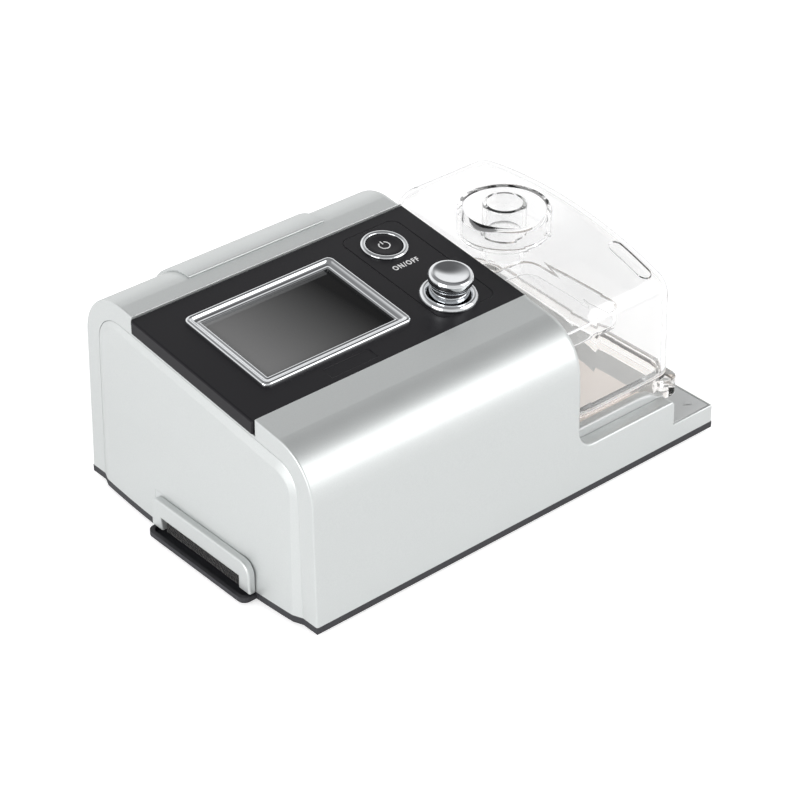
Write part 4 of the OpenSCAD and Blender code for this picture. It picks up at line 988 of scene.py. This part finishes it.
class PAP_OT_stage(bpy.types.Operator):
    """White floor, soft lamps and the camera"""
    bl_idname = "pap.stage"
    bl_label = "Stage"

    def execute(self, context):
        scene = context.scene
        scene.view_settings.view_transform = "Standard"
        bm = bmesh.new()
        bmesh.ops.create_grid(bm, x_segments=1, y_segments=1, size=stage().floor / 2)
        mesh = bpy.data.meshes.new("floor")
        bm.to_mesh(mesh)
        bm.free()
        floor = bpy.data.objects.new("floor", mesh)
        scene.collection.objects.link(floor)
        mesh.materials.append(self.floor_material())
        self.world(scene)
        self.lamp("key_lamp", (0.549, -0.703, 0.453), 1.6, (1.1, 1.1), stage().key)
        self.lamp("fill_lamp", (-0.95, -0.2, 0.25), 1.8, (1.2, 1.2), stage().fill)
        self.camera(scene)
        return {"FINISHED"}

    def floor_material(self):
        """White paper: the camera, glass and metal see it as white, and it keeps the object's shadow."""
        material = new_material("white_paper")
        place = object_place(material)
        fibre = add_node(material, "ShaderNodeTexNoise", {"Scale": per_metre(2.0)}, place)
        tone = two_tone(material, "#f4f4f4", "#f0f0f0", fibre.outputs[0])
        paper = add_node(material, "ShaderNodeBsdfDiffuse", links={"Color": tone})
        path = add_node(material, "ShaderNodeLightPath")
        seen = add_node(material, "ShaderNodeMath", {"operation": "MULTIPLY_ADD", 1: 0.3},
                        {0: path.outputs["Is Transmission Ray"], 2: path.outputs["Is Glossy Ray"]})
        seen = add_node(material, "ShaderNodeMath", {"operation": "MULTIPLY_ADD", 1: 2.0},
                        {0: path.outputs["Is Camera Ray"], 2: seen.outputs[0]})
        level = add_node(material, "ShaderNodeMath", {"operation": "MULTIPLY", 1: 0.28},
                         {0: seen.outputs[0]})
        glow = add_node(material, "ShaderNodeEmission", {"Color": (1, 1, 1, 1)},
                        {"Strength": level.outputs[0]})
        both = add_node(material, "ShaderNodeAddShader", links={0: paper.outputs[0], 1: glow.outputs[0]})
        return shown(material, both)

    def world(self, scene):
        """White to the camera; for everything else a sky that is bright low down and dim overhead, with a
        dark flag at the back right, which the panel and the chrome mirror."""
        world = bpy.data.worlds.new("studio")
        world.use_nodes = True
        world.node_tree.nodes.clear()
        place = add_node(world, "ShaderNodeTexCoord")
        parts = add_node(world, "ShaderNodeSeparateXYZ", links={0: place.outputs["Generated"]})
        height = add_node(world, "ShaderNodeMapRange",
                          {"From Min": 0.5, "From Max": 0.85, "interpolation_type": "SMOOTHSTEP"},
                          {"Value": parts.outputs[2]})
        behind = add_node(world, "ShaderNodeMapRange",
                          {"From Min": 0.0, "From Max": 0.9, "To Min": 0.95, "To Max": 1.25},
                          {"Value": parts.outputs[1]})
        sky = add_node(world, "ShaderNodeMix", {"data_type": "RGBA", 7: (0.32, 0.32, 0.325, 1)},
                       {0: height.outputs[0], 6: behind.outputs[0]})
        near = add_node(world, "ShaderNodeVectorMath",
                        {"operation": "DOT_PRODUCT", 1: Vector((0.55, 0.2, 0.81)).normalized()},
                        {0: place.outputs["Generated"]})
        flag = add_node(world, "ShaderNodeMapRange",
                        {"From Min": 0.9, "From Max": 0.99, "interpolation_type": "SMOOTHSTEP"},
                        {"Value": near.outputs["Value"]})
        sky = add_node(world, "ShaderNodeMix", {"data_type": "RGBA", 7: (0.15, 0.15, 0.153, 1)},
                       {0: flag.outputs[0], 6: sky.outputs[2]})
        through = add_node(world, "ShaderNodeMix",
                           {"data_type": "RGBA", 6: (1, 1, 1, 1), 7: (0.5, 0.5, 0.5, 1)},
                           {0: height.outputs[0]})
        path = add_node(world, "ShaderNodeLightPath")
        tone = add_node(world, "ShaderNodeMix", {"data_type": "RGBA"},
                        {0: path.outputs["Is Transmission Ray"], 6: sky.outputs[2], 7: through.outputs[2]})
        tone = add_node(world, "ShaderNodeMix", {"data_type": "RGBA", 7: (1, 1, 1, 1)},
                        {0: path.outputs["Is Camera Ray"], 6: tone.outputs[2]})
        back = add_node(world, "ShaderNodeBackground", {"Strength": 1.0}, {"Color": tone.outputs[2]})
        add_node(world, "ShaderNodeOutputWorld", links={"Surface": back.outputs[0]})
        scene.world = world

    def lamp(self, name, direction, distance, size, power):
        """A soft rectangular lamp that faces the object."""
        light = bpy.data.lights.new(name, "AREA")
        light.shape = "RECTANGLE"
        light.size, light.size_y = size
        light.energy = power
        lamp = bpy.data.objects.new(name, light)
        bpy.context.scene.collection.objects.link(lamp)
        toward = Vector(direction).normalized()
        lamp.location = toward * distance + Vector((0, 0, 0.05))
        lamp.rotation_mode = "QUATERNION"
        lamp.rotation_quaternion = toward.to_track_quat("Z", "Y")

    def camera(self, scene):
        """The photograph's view, from a fit of its perspective."""
        data = bpy.data.cameras.new("camera")
        data.lens = 117.97
        data.sensor_width = 36
        data.clip_start, data.clip_end = 0.01, 50
        camera = bpy.data.objects.new("camera", data)
        scene.collection.objects.link(camera)
        turn, rise = math.radians(-41.02), math.radians(33.22)
        back = Vector((math.sin(turn) * math.cos(rise), -math.cos(turn) * math.cos(rise), math.sin(rise)))
        camera.location = (-0.70175, -0.8086, 0.7345)
        camera.rotation_mode = "QUATERNION"
        camera.rotation_quaternion = (-back).to_track_quat("-Z", "Y")
        scene.camera = camera


class PAP_PT_parts(bpy.types.Panel):
    """Lists the steps that build the machine"""
    bl_label = "PAP Machine"
    bl_idname = "PAP_PT_parts"
    bl_space_type = "VIEW_3D"
    bl_region_type = "UI"
    bl_category = "PAP Machine"

    def draw(self, context):
        for group in (case(), panel(), chamber(), stage()):
            box = self.layout.box()
            for key in group.__annotations__:
                box.prop(group, key)
        for operator in OPERATORS:
            self.layout.operator(operator.bl_idname)


OPERATORS = (PAP_OT_case, PAP_OT_filter, PAP_OT_panel, PAP_OT_power_key, PAP_OT_knob,
             PAP_OT_humidifier, PAP_OT_dome, PAP_OT_chamber, PAP_OT_inside, PAP_OT_stage)
GROUPS = {"pap_case": CaseSizes, "pap_panel": PanelSizes, "pap_chamber": ChamberSizes,
          "pap_stage": StageSizes}


def register():
    for group in GROUPS.values():
        bpy.utils.register_class(group)
    for name, group in GROUPS.items():
        setattr(bpy.types.Scene, name, PointerProperty(type=group))
    for operator in OPERATORS:
        bpy.utils.register_class(operator)
    bpy.utils.register_class(PAP_PT_parts)


def unregister():
    bpy.utils.unregister_class(PAP_PT_parts)
    for operator in reversed(OPERATORS):
        bpy.utils.unregister_class(operator)
    for name, group in reversed(list(GROUPS.items())):
        delattr(bpy.types.Scene, name)
        bpy.utils.unregister_class(group)


def main():
    register()
    bpy.ops.pap.case()
    bpy.ops.pap.filter()
    bpy.ops.pap.panel()
    bpy.ops.pap.power_key()
    bpy.ops.pap.knob()
    bpy.ops.pap.humidifier()
    bpy.ops.pap.dome()
    bpy.ops.pap.chamber()
    bpy.ops.pap.inside()
    bpy.ops.pap.stage()


if __name__ == "__main__":
    main()
